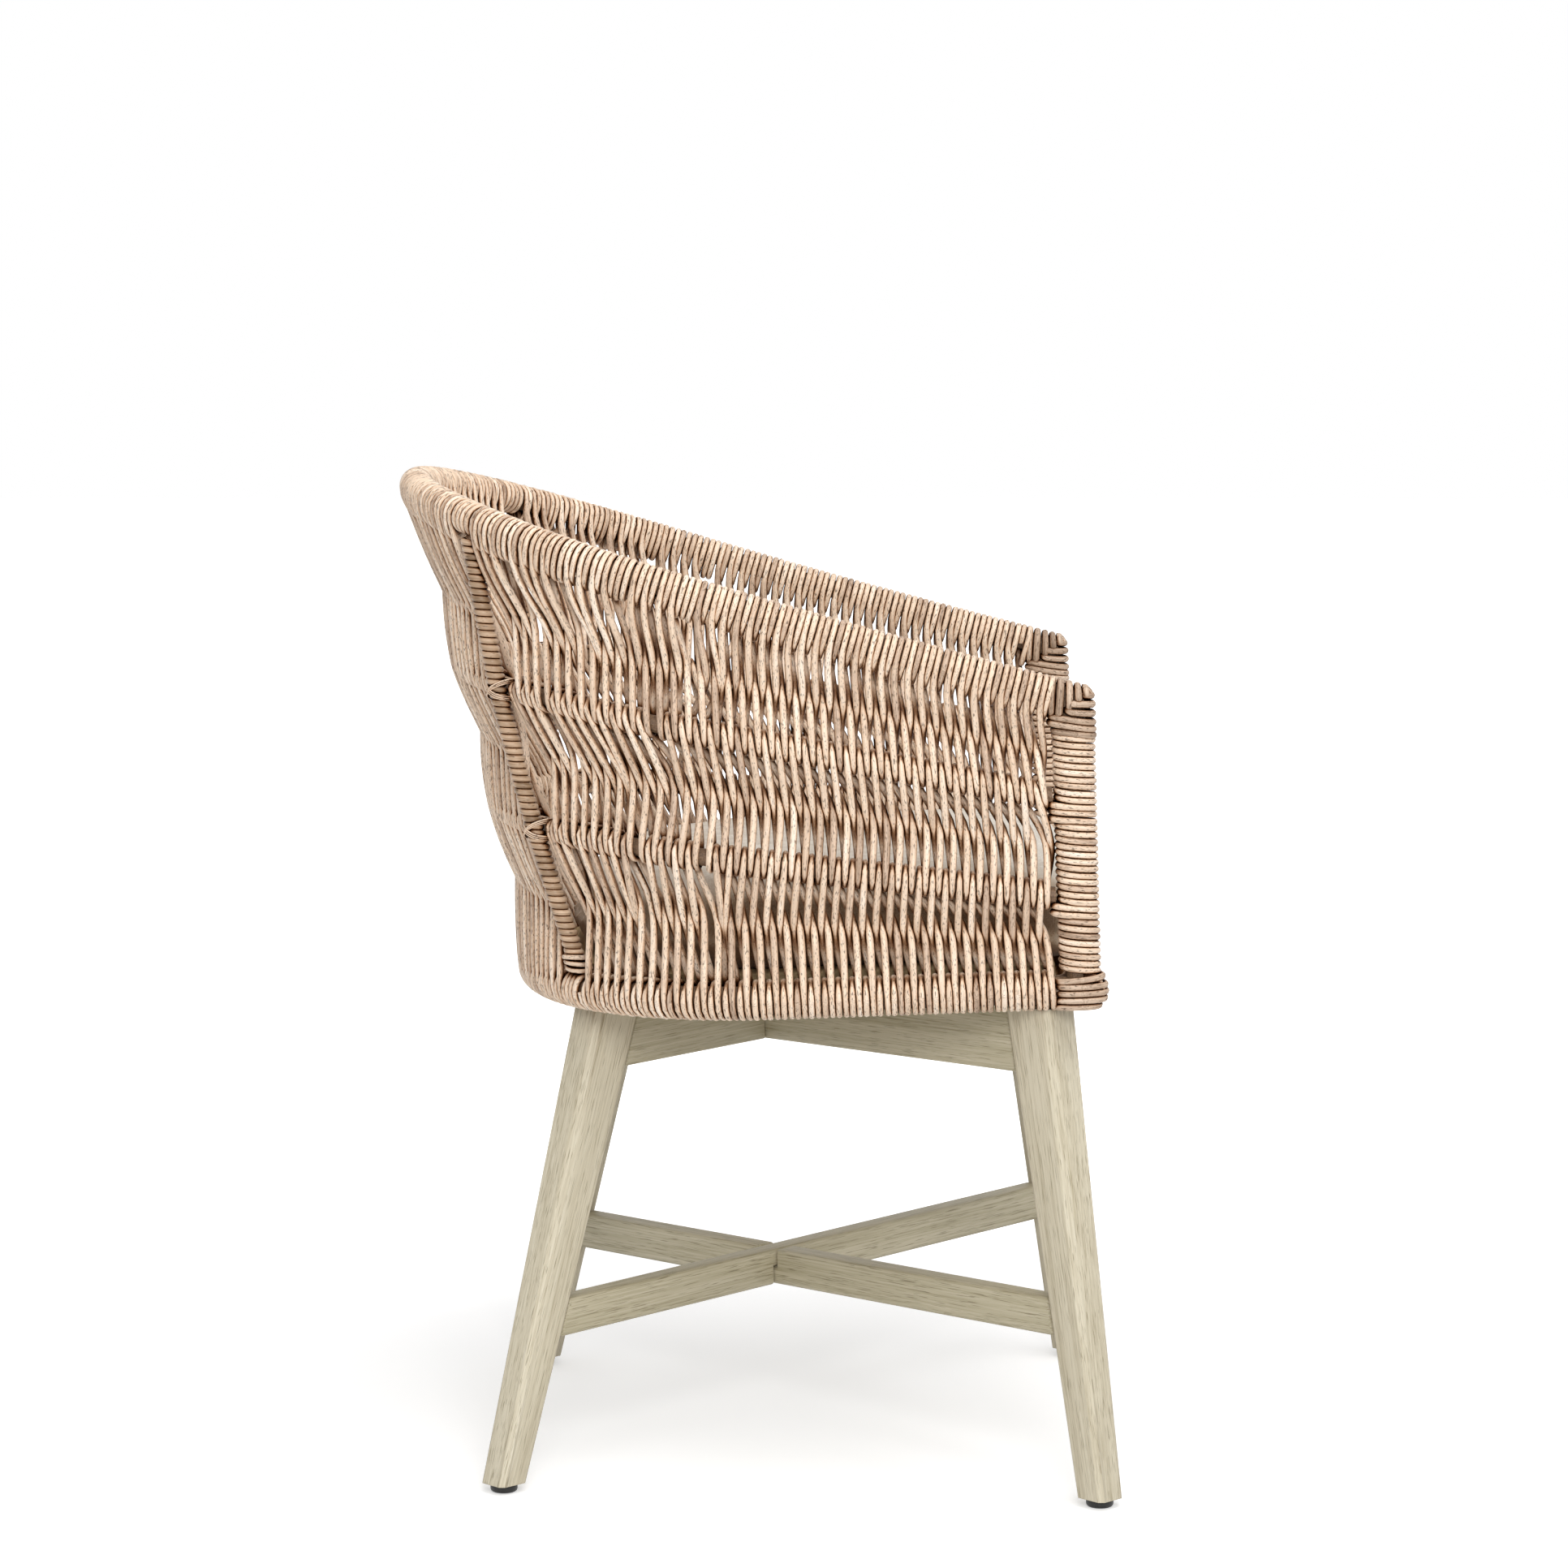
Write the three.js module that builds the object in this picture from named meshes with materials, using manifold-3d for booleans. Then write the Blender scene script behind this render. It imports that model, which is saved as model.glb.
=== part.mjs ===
import * as THREE from 'three';
import { mergeVertices } from 'three/addons/utils/BufferGeometryUtils.js';
import Module from 'manifold-3d';

// A woven cane tub chair on a splayed timber base, in millimetres.
// The chair faces -Y, its left is +X and +Z is up.
// All but the glides is laid out on the seat plane: x sideways, y back, z square to that plane,
// with z = 0 at the middle of the bottom hoop. The whole plane leans back a little.

const wasm = await Module();
wasm.setup();

// Fits shared by all pieces
const clearance = 0.3;
const cutterOverrun = 5;

// Seat plane, measured at y = 0
const seatPlaneHeight = 404;
const seatLeanDegrees = 2.2;

// Cane: one strand, and the gap kept between a woven panel and a front post
const strand = 5.4;
const panelToPostGap = 3;

// Front posts: distance in front of y = 0 and pole radius
const postReach = 262;
const postRadius = 11;

// Hoops, from the seat up to the rim. Each runs from post to post round the back:
// straight beside the sitter up to bendStart, then half an ellipse out to backReach.
// ribDegrees is the turn of the ellipse at which the rear rib stands.
const bottomHoop = {
  halfWidth: 250, bendStart: -20, backReach: 181, frontRise: 0, backRise: 0,
  radius: 11, ribDegrees: 49, straightShare: 1,
};
const lowerHoop = {
  bendStart: 2, backReach: 205, frontRise: 72, backRise: 140,
  radius: 7, ribDegrees: 48, straightShare: 1,
};
const upperHoop = {
  bendStart: 26, backReach: 230, frontRise: 149, backRise: 257,
  radius: 7, ribDegrees: 48, straightShare: 1,
};
const rimHoop = {
  halfWidth: 246, bendStart: 49.5, backReach: 264, frontRise: 229, backRise: 404.3,
  radius: 8.5, ribDegrees: 46, straightShare: 0.87,
};
const hoopOverhang = 10;

// The posts lean from the bottom hoop to the rim, so the hoops between meet them on that line
function postHalfWidth(rise) {
  const share = (rise - bottomHoop.frontRise) / (rimHoop.frontRise - bottomHoop.frontRise);
  return THREE.MathUtils.lerp(bottomHoop.halfWidth, rimHoop.halfWidth, share);
}
lowerHoop.halfWidth = postHalfWidth(lowerHoop.frontRise);
upperHoop.halfWidth = postHalfWidth(upperHoop.frontRise);

// Wraps of strand round the poles
const rimWrapRadius = rimHoop.radius + strand;
const bottomWrapRadius = bottomHoop.radius + strand;
const postWrapRadius = postRadius + strand;

// Rear ribs
const ribRadius = 7.2;
const ribSlotGap = 7.8;
const ribSlotHalf = ribRadius + ribSlotGap;
const ribLeanShare = 1.12;
const ribOutset = (upperHoop.radius + ribRadius + clearance) * ribLeanShare;
const ribEndOutset = 5;

// Corner bindings: the top one covers the joint of rim and post, the bottom one is a knob
const topCorner = { postLength: 26, rimLength: 17, nose: 15 };
const knob = { radius: 19.5, forward: 3, endRadius: 14, bulge: 2.5 };

// Seat board, bearers and cushion
const deck = { thickness: 12, edgeGap: 2 };
const bearer = { width: 50, endGap: 4, frontBack: 54, rearBack: 100 };
const cushion = {
  halfWidth: 219, front: 6, backGap: 34, edgeHeight: 58, crown: 18,
  cornerRadius: 34, sideBulge: 9, topOutset: 6, drawnIn: 5, underInset: 12, underRise: 7,
};

// Timber base: diagonals cross at crossingBack, legs stand on them
const crossingBack = -8;
const leg = {
  topDeep: 50, topWide: 36, footDeep: 31, footWide: 30, chamfer: 6, footHeight: 7,
};
const frontLegSetBack = 31.26;
const frontLegSplay = 48;
const frontLegReach = (postReach + crossingBack - frontLegSetBack) * Math.SQRT2;
const frontLeg = { topReach: frontLegReach, footReach: frontLegReach + frontLegSplay };
const rearLeg = { topReach: 176, footReach: 310 };
const upperRail = { height: 54, thickness: 24 };
const lowerStretcher = { height: 30, thickness: 22, drop: 250 };
const dowel = { radius: 4, halfLength: 19 };
const seatScrew = { radius: 2.5, headRadius: 5, headHeight: 3, grip: 24, bite: 16, fromLeg: 32 };
const glide = { radius: 11, edge: 3, stemRadius: 3, stemLength: 16 };

// Steps of the faceted forms
const straightSteps = 3;
const bendSteps = 6;
const backSteps = 8;
const poleSides = 10;
const barSides = 12;
const windingLoops = 24;
const windingStepsPerLoop = 10;

const lean = THREE.MathUtils.degToRad(seatLeanDegrees);
const up = new THREE.Vector3(0, 0, 1);
const quarterTurn = Math.PI / 2;

// Finishes
const finishes = {
  cane: { color: 0xd9bf9c, roughness: 0.62, metalness: 0 },
  pole: { color: 0xa58667, roughness: 0.55, metalness: 0 },
  timber: { color: 0xc6bda0, roughness: 0.6, metalness: 0 },
  board: { color: 0x9c8664, roughness: 0.7, metalness: 0 },
  fabric: { color: 0xe2dacd, roughness: 0.95, metalness: 0 },
  rubber: { color: 0x151515, roughness: 0.6, metalness: 0 },
  steel: { color: 0xb4b4b0, roughness: 0.35, metalness: 1 },
};

const chair = new THREE.Group();
const seatFrame = new THREE.Group();
seatFrame.rotation.x = -lean;
seatFrame.position.z = seatPlaneHeight;
chair.add(seatFrame);

function addPiece(parent, name, geometry, finish) {
  geometry.computeVertexNormals();
  const mesh = new THREE.Mesh(geometry, new THREE.MeshStandardMaterial(finishes[finish]));
  mesh.name = name;
  parent.add(mesh);
  return mesh;
}

// Solids: joining and cutting

function solidOf(geometry) {
  const bare = geometry.clone();
  bare.deleteAttribute('normal');
  bare.deleteAttribute('uv');
  const merged = mergeVertices(bare);
  return new wasm.Manifold(new wasm.Mesh({
    numProp: 3,
    vertProperties: new Float32Array(merged.attributes.position.array),
    triVerts: new Uint32Array(merged.index.array),
  }));
}

function geometryOf(solid) {
  const mesh = solid.getMesh();
  const geometry = new THREE.BufferGeometry();
  geometry.setAttribute('position', new THREE.BufferAttribute(mesh.vertProperties, 3));
  geometry.setIndex(new THREE.BufferAttribute(mesh.triVerts, 1));
  return geometry;
}

function cut(geometry, cutters) {
  let solid = solidOf(geometry);
  for (const cutter of cutters) solid = solid.subtract(solidOf(cutter));
  return geometryOf(solid);
}

function join(geometries) {
  let solid = solidOf(geometries[0]);
  for (const geometry of geometries.slice(1)) solid = solid.add(solidOf(geometry));
  return geometryOf(solid);
}

// Faceted bores stay clear of the round piece inside them
function boreRadius(radius, sides) {
  return (radius + clearance) / Math.cos(Math.PI / sides);
}

// A round bar from one point to another
function rod(from, to, radius, sides = barSides) {
  const along = to.clone().sub(from);
  const geometry = new THREE.CylinderGeometry(radius, radius, along.length(), sides);
  const turn = new THREE.Quaternion().setFromUnitVectors(
    new THREE.Vector3(0, 1, 0), along.clone().normalize());
  geometry.applyQuaternion(turn);
  geometry.translate(...from.clone().add(to).multiplyScalar(0.5).toArray());
  return geometry;
}

// Lofts: loops of points joined into one closed solid

function indexedGeometry(points, faces) {
  const geometry = new THREE.BufferGeometry().setFromPoints(points);
  geometry.setIndex(faces);
  return geometry;
}

// Triangles of a loop, wound the way the loop runs, seen on the plane of its own two directions
function capFaces(loop, across) {
  const flat = loop.map((point) => new THREE.Vector2(point.dot(across), point.z));
  const turn = Math.sign(THREE.ShapeUtils.area(flat));
  return THREE.ShapeUtils.triangulateShape(flat, []).map((face) => {
    const faceTurn = Math.sign(THREE.ShapeUtils.area(face.map((corner) => flat[corner])));
    return faceTurn === turn ? face : [face[0], face[2], face[1]];
  });
}

function wallFaces(loopCount, size, start = 0) {
  const faces = [];
  for (let i = 0; i < loopCount - 1; i += 1) {
    for (let j = 0; j < size; j += 1) {
      const near = start + i * size + j;
      const next = start + i * size + (j + 1) % size;
      faces.push(near, next, next + size, near, next + size, near + size);
    }
  }
  return faces;
}

function facedOut(points, faces) {
  let volume = 0;
  for (let i = 0; i < faces.length; i += 3) {
    const [a, b, c] = [points[faces[i]], points[faces[i + 1]], points[faces[i + 2]]];
    volume += a.dot(b.clone().cross(c));
  }
  if (volume > 0) return faces;
  const turned = [];
  for (let i = 0; i < faces.length; i += 3) turned.push(faces[i], faces[i + 2], faces[i + 1]);
  return turned;
}

function loft(loops, firstAcross, lastAcross = firstAcross) {
  const size = loops[0].length;
  const points = loops.flat();
  const faces = wallFaces(loops.length, size);
  const last = size * (loops.length - 1);
  for (const [a, b, c] of capFaces(loops[0], firstAcross)) faces.push(a, c, b);
  for (const [a, b, c] of capFaces(loops.at(-1), lastAcross)) {
    faces.push(last + a, last + b, last + c);
  }
  return indexedGeometry(points, facedOut(points, faces));
}

// A tube wall: outer and inner loops of the same size, joined by flat rings at both ends
function sleeveLoft(outerLoops, innerLoops) {
  const size = outerLoops[0].length;
  const inner = outerLoops.length * size;
  const points = [...outerLoops.flat(), ...innerLoops.flat()];
  const faces = wallFaces(outerLoops.length, size);
  const innerFaces = wallFaces(innerLoops.length, size, inner);
  for (let i = 0; i < innerFaces.length; i += 3) {
    faces.push(innerFaces[i], innerFaces[i + 2], innerFaces[i + 1]);
  }
  const last = (outerLoops.length - 1) * size;
  for (let j = 0; j < size; j += 1) {
    const next = (j + 1) % size;
    faces.push(j, inner + next, next, j, inner + j, inner + next);
    faces.push(last + j, last + next, inner + last + next);
    faces.push(last + j, inner + last + next, inner + last + j);
  }
  return indexedGeometry(points, facedOut(points, faces));
}

// Hoop routes

function hoopRise(hoop, y) {
  const share = (y + postReach) / (hoop.backReach + postReach);
  const bent = hoop.straightShare * share + (1 - hoop.straightShare) * share * share;
  return THREE.MathUtils.lerp(hoop.frontRise, hoop.backRise, bent);
}

function hoopBend(hoop, angle, target) {
  const y = hoop.bendStart + (hoop.backReach - hoop.bendStart) * Math.sin(angle);
  return target.set(-hoop.halfWidth * Math.cos(angle), y, hoopRise(hoop, y));
}

// From the right front post back to the right rib
class SideRun extends THREE.Curve {
  constructor(hoop) {
    super();
    this.hoop = hoop;
    this.ribAngle = THREE.MathUtils.degToRad(hoop.ribDegrees);
  }

  getPoint(t, target = new THREE.Vector3()) {
    const { hoop, ribAngle } = this;
    const straight = hoop.bendStart + postReach;
    const bend = ribAngle * (hoop.halfWidth + hoop.backReach - hoop.bendStart) / 2;
    const travelled = t * (straight + bend);
    if (travelled > straight) return hoopBend(hoop, ribAngle * (travelled - straight) / bend, target);
    const y = travelled - postReach;
    return target.set(-hoop.halfWidth, y, hoopRise(hoop, y));
  }
}

// From the right rib round the back to the left rib
class BackRun extends THREE.Curve {
  constructor(hoop) {
    super();
    this.hoop = hoop;
    this.ribAngle = THREE.MathUtils.degToRad(hoop.ribDegrees);
  }

  getPoint(t, target = new THREE.Vector3()) {
    return hoopBend(this.hoop, THREE.MathUtils.lerp(this.ribAngle, Math.PI - this.ribAngle, t), target);
  }
}

// A station is a point of a hoop with the direction that points out of the seat there
function stationAt(run, distance) {
  const share = distance / run.getLength();
  const along = run.getTangentAt(share);
  const out = new THREE.Vector3(-along.y, along.x, 0).normalize();
  return { at: run.getPointAt(share), out };
}

function mirrored(station) {
  const flip = (v) => new THREE.Vector3(-v.x, v.y, v.z);
  return { at: flip(station.at), out: flip(station.out) };
}

function spread(from, to, steps) {
  return Array.from({ length: steps + 1 }, (_, i) => THREE.MathUtils.lerp(from, to, i / steps));
}

const panelStart = postWrapRadius + panelToPostGap;

function sideStations(hoop) {
  const run = new SideRun(hoop);
  const bendStart = postReach + hoop.bendStart;
  const straight = spread(panelStart, bendStart, straightSteps);
  const bend = spread(bendStart, run.getLength() - ribSlotHalf, bendSteps);
  return [...straight, ...bend.slice(1)].map((distance) => stationAt(run, distance));
}

function backStations(hoop) {
  const run = new BackRun(hoop);
  const distances = spread(ribSlotHalf, run.getLength() - ribSlotHalf, backSteps);
  return distances.map((distance) => stationAt(run, distance));
}

// A point of the straight first stretch of a hoop, measured back from the middle of the post
function hoopStart(hoop, distance) {
  const [first, second] = sideStations(hoop);
  const onward = second.at.clone().sub(first.at).normalize();
  const toTravel = distance - postReach - first.at.y;
  return { at: first.at.clone().addScaledVector(onward, toTravel / onward.y), out: first.out };
}

// All stations of a hoop from the right post to the left one, from a given distance off each post
function wholeStations(hoop, startDistance) {
  const onward = sideStations(hoop).slice(startDistance < panelStart ? 0 : 1);
  const right = [hoopStart(hoop, startDistance), ...onward];
  return [...right, ...backStations(hoop), ...right.map(mirrored).reverse()];
}

function ringLoop(station, radius) {
  return Array.from({ length: poleSides }, (_, i) => {
    const angle = i / poleSides * 2 * Math.PI;
    return station.at.clone()
      .addScaledVector(station.out, radius * Math.cos(angle))
      .addScaledVector(up, radius * Math.sin(angle));
  });
}

function hoopPole(hoop, startDistance) {
  const stations = wholeStations(hoop, startDistance);
  const loops = stations.map((station) => ringLoop(station, hoop.radius));
  return loft(loops, stations[0].out, stations.at(-1).out);
}

function hoopSleeve(hoop, radius, startDistance) {
  const stations = wholeStations(hoop, startDistance);
  return sleeveLoft(
    stations.map((station) => ringLoop(station, radius)),
    stations.map((station) => ringLoop(station, hoop.radius + clearance)));
}

// Woven panels: strands stand outside and inside each hoop and cross midway between two hoops,
// so a panel is as thick as a wrapped hoop at its edges and one strand thick at its waist.

// A panel's edge follows the facets of the pole or binding that it meets
const coveredTurnShares = spread(0, 1, poleSides / 2);
const wrappedTurnShares = coveredTurnShares.slice(1, -1);

// The panel's edge along a hoop, from the outside in, on its upper side (side 1) or lower side (-1)
function panelEdge(station, edge, side) {
  const point = (across, rise) => station.at.clone()
    .addScaledVector(station.out, across)
    .addScaledVector(up, rise * side);
  const radius = edge.radius + clearance;
  const arc = edge.turnShares.map((share) => {
    const angle = share * Math.PI;
    return point(radius * Math.cos(angle), Math.max(radius * Math.sin(angle), clearance / 2));
  });
  if (!edge.shoulder) return arc;
  return [point(edge.shoulder, clearance / 2), ...arc, point(-edge.shoulder, clearance / 2)];
}

function panelLoop(top, topEdge, bottom, bottomEdge) {
  const middle = top.at.clone().lerp(bottom.at, 0.5);
  const out = top.out.clone().add(bottom.out).normalize();
  const waistHalf = strand / 2;
  return [
    ...panelEdge(bottom, bottomEdge, 1),
    middle.clone().addScaledVector(out, -waistHalf),
    ...panelEdge(top, topEdge, -1).reverse(),
    middle.clone().addScaledVector(out, waistHalf),
  ];
}

function coveredEdge(hoop) {
  return { radius: hoop.radius, shoulder: hoop.radius + strand, turnShares: coveredTurnShares };
}

function wrappedEdge(radius) {
  return { radius, shoulder: 0, turnShares: wrappedTurnShares };
}

const rimEdge = wrappedEdge(rimWrapRadius);
const bottomEdge = wrappedEdge(bottomWrapRadius);
const bands = [
  { name: 'upper', top: rimHoop, topEdge: rimEdge, bottom: upperHoop, bottomEdge: coveredEdge(upperHoop) },
  {
    name: 'middle', top: upperHoop, topEdge: coveredEdge(upperHoop),
    bottom: lowerHoop, bottomEdge: coveredEdge(lowerHoop),
  },
  { name: 'lower', top: lowerHoop, topEdge: coveredEdge(lowerHoop), bottom: bottomHoop, bottomEdge },
];

function panelBetween(tops, bottoms, band) {
  const loops = tops.map((top, i) => panelLoop(top, band.topEdge, bottoms[i], band.bottomEdge));
  return loft(loops, tops[0].out, tops.at(-1).out);
}

function addWovenPanels() {
  for (const band of bands) {
    const [tops, bottoms] = [sideStations(band.top), sideStations(band.bottom)];
    const [leftTops, leftBottoms] = [tops.map(mirrored), bottoms.map(mirrored)];
    const [backTops, backBottoms] = [backStations(band.top), backStations(band.bottom)];
    addPiece(seatFrame, `weave_${band.name}_right`, panelBetween(tops, bottoms, band), 'cane');
    addPiece(seatFrame, `weave_${band.name}_back`, panelBetween(backTops, backBottoms, band), 'cane');
    addPiece(seatFrame, `weave_${band.name}_left`, panelBetween(leftTops, leftBottoms, band), 'cane');
  }
}

function addHoops() {
  addPiece(seatFrame, 'rim_pole', hoopPole(rimHoop, -hoopOverhang), 'pole');
  addPiece(seatFrame, 'upper_ring', hoopPole(upperHoop, postWrapRadius + clearance), 'pole');
  addPiece(seatFrame, 'lower_ring', hoopPole(lowerHoop, postWrapRadius + clearance), 'pole');
  addPiece(seatFrame, 'bottom_ring', hoopPole(bottomHoop, -hoopOverhang), 'pole');
  const rimStart = topCorner.rimLength + clearance;
  const bottomStart = knob.radius - knob.forward + clearance;
  addPiece(seatFrame, 'rim_binding', hoopSleeve(rimHoop, rimWrapRadius, rimStart), 'cane');
  addPiece(seatFrame, 'bottom_binding', hoopSleeve(bottomHoop, bottomWrapRadius, bottomStart), 'cane');
}

// Rear ribs stand outside the rings, in the slot between two panels, from the bottom ring to the rim

function ribStation(hoop, outset, raise) {
  const run = new SideRun(hoop);
  const station = stationAt(run, run.getLength());
  station.at.addScaledVector(station.out, outset).addScaledVector(up, raise);
  return station;
}

function ribLoop({ at, out }) {
  const along = up.clone().cross(out);
  return Array.from({ length: poleSides }, (_, i) => {
    const angle = i / poleSides * 2 * Math.PI;
    return at.clone()
      .addScaledVector(out, ribRadius * Math.cos(angle))
      .addScaledVector(along, ribRadius * Math.sin(angle));
  });
}

function ribGeometry(side) {
  const rimDrop = rimWrapRadius + clearance + ribRadius * (ribLeanShare - 1) * 2;
  const foot = bottomWrapRadius + clearance;
  const rightStations = [
    ribStation(bottomHoop, ribEndOutset, foot),
    ribStation(lowerHoop, ribOutset, 0),
    ribStation(upperHoop, ribOutset, 0),
    ribStation(rimHoop, ribEndOutset, -rimDrop),
  ];
  const stations = side < 0 ? rightStations : rightStations.map(mirrored);
  const points = stations.flatMap(ribLoop);
  const faces = wallFaces(stations.length, poleSides);
  const last = (stations.length - 1) * poleSides;
  for (let i = 1; i < poleSides - 1; i += 1) {
    faces.push(0, i + 1, i, last, last + i, last + i + 1);
  }
  return indexedGeometry(points, facedOut(points, faces));
}

// Front posts, their winding and the corner bindings

function postEnds(side) {
  const foot = new THREE.Vector3(side * bottomHoop.halfWidth, -postReach, bottomHoop.frontRise);
  const head = new THREE.Vector3(side * rimHoop.halfWidth, -postReach, rimHoop.frontRise);
  return { foot, head, along: head.clone().sub(foot).normalize() };
}

// A length of bar on a hoop's line at its post, from so far in front of the post to so far behind
function hoopEnd(hoop, side, forward, back, radius) {
  const ends = [hoopStart(hoop, -forward), hoopStart(hoop, back)];
  const stations = side < 0 ? ends : ends.map(mirrored);
  return loft(stations.map((station) => ringLoop(station, radius)), stations[0].out);
}

function postGeometry(side) {
  const { foot, head } = postEnds(side);
  const seatCut = postRadius + cutterOverrun;
  const bottomCut = hoopEnd(bottomHoop, side, seatCut, seatCut, boreRadius(bottomHoop.radius, poleSides));
  const rimCut = hoopEnd(rimHoop, side, seatCut, seatCut, boreRadius(rimHoop.radius, poleSides));
  const pole = solidOf(rod(foot, head, postRadius));
  const trimmed = pole.subtract(solidOf(bottomCut)).subtract(solidOf(rimCut));
  const bodies = trimmed.decompose().sort((a, b) => b.volume() - a.volume());
  return geometryOf(bodies[0]);
}

const knobHalfHeight = bottomWrapRadius;
const windingStart = knobHalfHeight + clearance;
const windingEndDrop = topCorner.postLength + clearance;
const windingGap = 0.6;
const windingFootShare = 0.7;
const windingShoulderShare = 0.6;

function windingLoops3d(side) {
  const { foot, head, along } = postEnds(side);
  const length = head.distanceTo(foot) - windingStart - windingEndDrop;
  const pitch = length / windingLoops;
  const halfWidth = (pitch - windingGap) / 2;
  const innerRadius = boreRadius(postRadius, windingStepsPerLoop);
  const middleRadius = THREE.MathUtils.lerp(innerRadius, postWrapRadius, windingShoulderShare);
  const section = [
    [innerRadius, -windingFootShare], [middleRadius, -1], [postWrapRadius, 0],
    [middleRadius, 1], [innerRadius, windingFootShare],
  ];
  const sideways = new THREE.Vector3(0, 1, 0).cross(along).normalize();
  const forward = along.clone().cross(sideways);
  const steps = (windingLoops - 1) * windingStepsPerLoop;
  return Array.from({ length: steps + 1 }, (_, i) => {
    const turn = i / windingStepsPerLoop;
    const angle = -quarterTurn + turn * 2 * Math.PI;
    const out = sideways.clone().multiplyScalar(Math.cos(angle))
      .addScaledVector(forward, Math.sin(angle));
    return section.map(([radius, share]) => foot.clone()
      .addScaledVector(along, windingStart + pitch * (turn + 0.5) + halfWidth * share)
      .addScaledVector(out, radius));
  });
}

// Least distance between neighbouring turns, measured on the points of the tube
function leastWindingGap(loops) {
  let least = Infinity;
  for (let i = 0; i + windingStepsPerLoop < loops.length; i += 1) {
    for (const near of loops[i]) {
      for (const far of loops[i + windingStepsPerLoop]) least = Math.min(least, near.distanceTo(far));
    }
  }
  return least;
}

function windingGeometry(side) {
  const loops = windingLoops3d(side);
  console.log(`post winding, least gap to itself: ${leastWindingGap(loops).toFixed(2)} mm`);
  const size = loops[0].length;
  const points = loops.flat();
  const faces = wallFaces(loops.length, size);
  const last = (loops.length - 1) * size;
  for (let i = 1; i < size - 1; i += 1) faces.push(0, i + 1, i, last, last + i, last + i + 1);
  return indexedGeometry(points, facedOut(points, faces));
}

function topCornerGeometry(side) {
  const { head, along } = postEnds(side);
  const arm = hoopEnd(rimHoop, side, topCorner.nose, topCorner.rimLength, rimWrapRadius);
  const lowEnd = head.clone().addScaledVector(along, -topCorner.postLength);
  const highEnd = head.clone().addScaledVector(along, rimHoop.radius);
  const outer = join([rod(lowEnd, highEnd, postWrapRadius), arm]);
  const hollow = hoopEnd(rimHoop, side, hoopOverhang + clearance,
    topCorner.rimLength + cutterOverrun, boreRadius(rimHoop.radius, poleSides));
  const below = lowEnd.clone().addScaledVector(along, -cutterOverrun);
  return cut(outer, [
    hollow,
    rod(below, head, boreRadius(postRadius, barSides)),
  ]);
}

// The knob at the foot of a post: a barrel round the ends of post, bottom ring and front rail
function knobGeometry(side) {
  const { foot, along } = postEnds(side);
  const profile = new THREE.CatmullRomCurve3([
    new THREE.Vector3(knob.endRadius, -knobHalfHeight, 0),
    new THREE.Vector3(knob.radius - knob.bulge / 2, -knobHalfHeight / 2, 0),
    new THREE.Vector3(knob.radius, 0, 0),
    new THREE.Vector3(knob.radius - knob.bulge / 2, knobHalfHeight / 2, 0),
    new THREE.Vector3(knob.endRadius, knobHalfHeight, 0),
  ]).getPoints(6).map((point) => new THREE.Vector2(point.x, point.y));
  const barrel = new THREE.LatheGeometry(
    [new THREE.Vector2(0, -knobHalfHeight), ...profile, new THREE.Vector2(0, knobHalfHeight)], barSides);
  barrel.rotateX(quarterTurn);
  barrel.translate(foot.x, foot.y - knob.forward, foot.z);
  const reach = knob.radius + knob.forward + cutterOverrun;
  const inward = new THREE.Vector3(-side, 0, 0);
  return cut(barrel, [
    hoopEnd(bottomHoop, side, hoopOverhang + clearance, reach, boreRadius(bottomHoop.radius, poleSides)),
    rod(foot, foot.clone().addScaledVector(along, reach), boreRadius(postRadius, barSides)),
    rod(foot, foot.clone().addScaledVector(inward, reach), boreRadius(bottomHoop.radius, barSides)),
  ]);
}

function addFrontFrame() {
  for (const [name, side] of [['right', -1], ['left', 1]]) {
    addPiece(seatFrame, `front_post_${name}`, postGeometry(side), 'pole');
    addPiece(seatFrame, `post_winding_${name}`, windingGeometry(side), 'cane');
    addPiece(seatFrame, `top_corner_binding_${name}`, topCornerGeometry(side), 'cane');
    addPiece(seatFrame, `bottom_corner_binding_${name}`, knobGeometry(side), 'cane');
    addPiece(seatFrame, `rear_rib_${name}`, ribGeometry(side), 'pole');
  }
  const railHalf = bottomHoop.halfWidth - bottomHoop.radius - clearance;
  const railEnd = new THREE.Vector3(railHalf, -postReach, bottomHoop.frontRise);
  const railStart = railEnd.clone().setX(-railHalf);
  addPiece(seatFrame, 'front_rail', rod(railStart, railEnd, bottomHoop.radius, poleSides), 'pole');
  const wrapHalf = bottomHoop.halfWidth - knob.radius - clearance;
  const wrapEnd = railEnd.clone().setX(wrapHalf);
  const wrapStart = railEnd.clone().setX(-wrapHalf);
  const boreEnd = railEnd.clone().setX(wrapHalf + cutterOverrun);
  const boreStart = railEnd.clone().setX(-wrapHalf - cutterOverrun);
  const wrap = rod(wrapStart, wrapEnd, bottomWrapRadius);
  const wrapBore = rod(boreStart, boreEnd, boreRadius(bottomHoop.radius, barSides));
  addPiece(seatFrame, 'front_rail_binding', cut(wrap, [wrapBore]), 'cane');
}

// Timber base. Each diagonal has a right-hand frame: out along the diagonal, up, and across it.

// The legs stop just under the flat lowest facet of the bottom ring's binding, which they carry
const legTop = -(bottomWrapRadius * Math.cos(Math.PI / poleSides) + clearance);
const deckTop = bottomWrapRadius + clearance * 2;
const deckBottom = deckTop - deck.thickness;

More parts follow.
